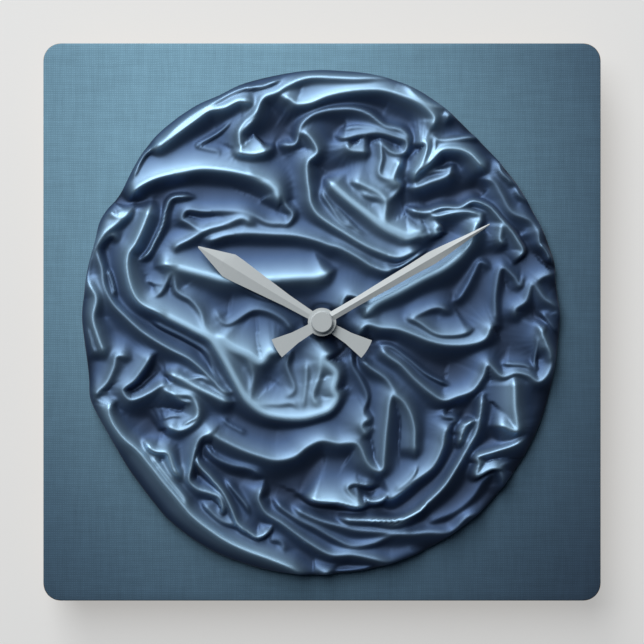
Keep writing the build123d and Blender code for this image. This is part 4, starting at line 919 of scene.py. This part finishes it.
class CLOCK_OT_stage(bpy.types.Operator):
    """Makes the wall, the floor, the lights and the camera"""

    bl_idname = "clock.stage"
    bl_label = "Stage"

    def execute(self, context):
        scene = context.scene
        sizes = scene.clock_stage
        wall = one_sided("rolled_wall_paint", sizes.wall)
        back, drop, wide, high, deep = 0.4 * MM, sizes.floor_drop, 4, 3, 5
        stage_plane(
            "wall", [(-wide, back, -drop), (wide, back, -drop), (wide, back, high), (-wide, back, high)], wall
        )
        stage_plane(
            "floor", [(-wide, -deep, -drop), (wide, -deep, -drop), (wide, deep, -drop), (-wide, deep, -drop)],
            one_sided("floor_paint", sizes.wall),
        )
        soft_light("key", (-0.6, -1.6, 1.0), (0, 0, 0), 1.5, sizes.key, (1, 1, 1))
        soft_light("top", (-0.5, -0.8, 1.6), (0, 0, 0), 0.8, sizes.fill, (1, 1, 1))
        soft_light("rear_left", (1.0, 1.3, 0.9), (0, 0, 0), 0.9, sizes.rear, (1, 1, 1))
        soft_light("rear_right", (-1.2, 1.2, 0.1), (0, 0, 0), 0.9, sizes.rear / 2, (1, 1, 1))

        world = bpy.data.worlds.new("studio")
        world.use_nodes = True
        tree = world.node_tree
        tree.nodes.clear()
        seen = add(tree, "ShaderNodeLightPath").outputs["Is Camera Ray"]
        pale = add(tree, "ShaderNodeBackground", {"Color": linear("#E4E5E6"), "Strength": 1.0}).outputs[0]
        dim = add(tree, "ShaderNodeBackground", {"Color": linear("#9FB3C8"), "Strength": 0.08}).outputs[0]
        both = add(tree, "ShaderNodeMixShader", {0: seen, 1: dim, 2: pale}).outputs[0]
        add(tree, "ShaderNodeOutputWorld", {0: both})
        scene.world = world
        scene.view_settings.view_transform = "Standard"

        low, high_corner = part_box("linen_facing")
        data = bpy.data.cameras.new("camera")
        data.lens, data.sensor_width = sizes.lens, 36
        across = (high_corner.x - low.x) / sizes.share
        camera = bpy.data.objects.new("camera", data)
        scene.collection.objects.link(camera)
        camera.location = (0, low.y - across * data.lens / data.sensor_width, 0)
        camera.rotation_euler = (math.pi / 2, 0, 0)
        scene.camera = camera
        return {"FINISHED"}


OPERATORS = [
    CLOCK_OT_stage, CLOCK_OT_linen, CLOCK_OT_wadding, CLOCK_OT_satin, CLOCK_OT_hands, CLOCK_OT_case,
    CLOCK_OT_movement,
]


class CLOCK_PT_sidebar(bpy.types.Panel):
    """The clock's sizes, colours and pieces"""

    bl_idname = "CLOCK_PT_sidebar"
    bl_label = "Satin clock"
    bl_space_type = "VIEW_3D"
    bl_region_type = "UI"
    bl_category = "Clock"

    def draw(self, context):
        for group in (context.scene.clock_cloth, context.scene.clock_colours, context.scene.clock_stage):
            box = self.layout.box()
            for name in group.bl_rna.properties.keys():
                if name not in ("rna_type", "name"):
                    box.prop(group, name)
        for operator in OPERATORS:
            self.layout.operator(operator.bl_idname)


CLASSES = [ClothSizes, ClothColours, StageSizes, *OPERATORS, CLOCK_PT_sidebar]


def register():
    for item in CLASSES:
        bpy.utils.register_class(item)
    bpy.types.Scene.clock_cloth = bpy.props.PointerProperty(type=ClothSizes)
    bpy.types.Scene.clock_colours = bpy.props.PointerProperty(type=ClothColours)
    bpy.types.Scene.clock_stage = bpy.props.PointerProperty(type=StageSizes)


def unregister():
    del bpy.types.Scene.clock_stage, bpy.types.Scene.clock_colours, bpy.types.Scene.clock_cloth
    for item in reversed(CLASSES):
        bpy.utils.unregister_class(item)


def main():
    """Makes every piece."""
    register()
    for operator in OPERATORS:
        getattr(bpy.ops.clock, operator.bl_idname.split(".")[1])()


if __name__ == "__main__":
    main()
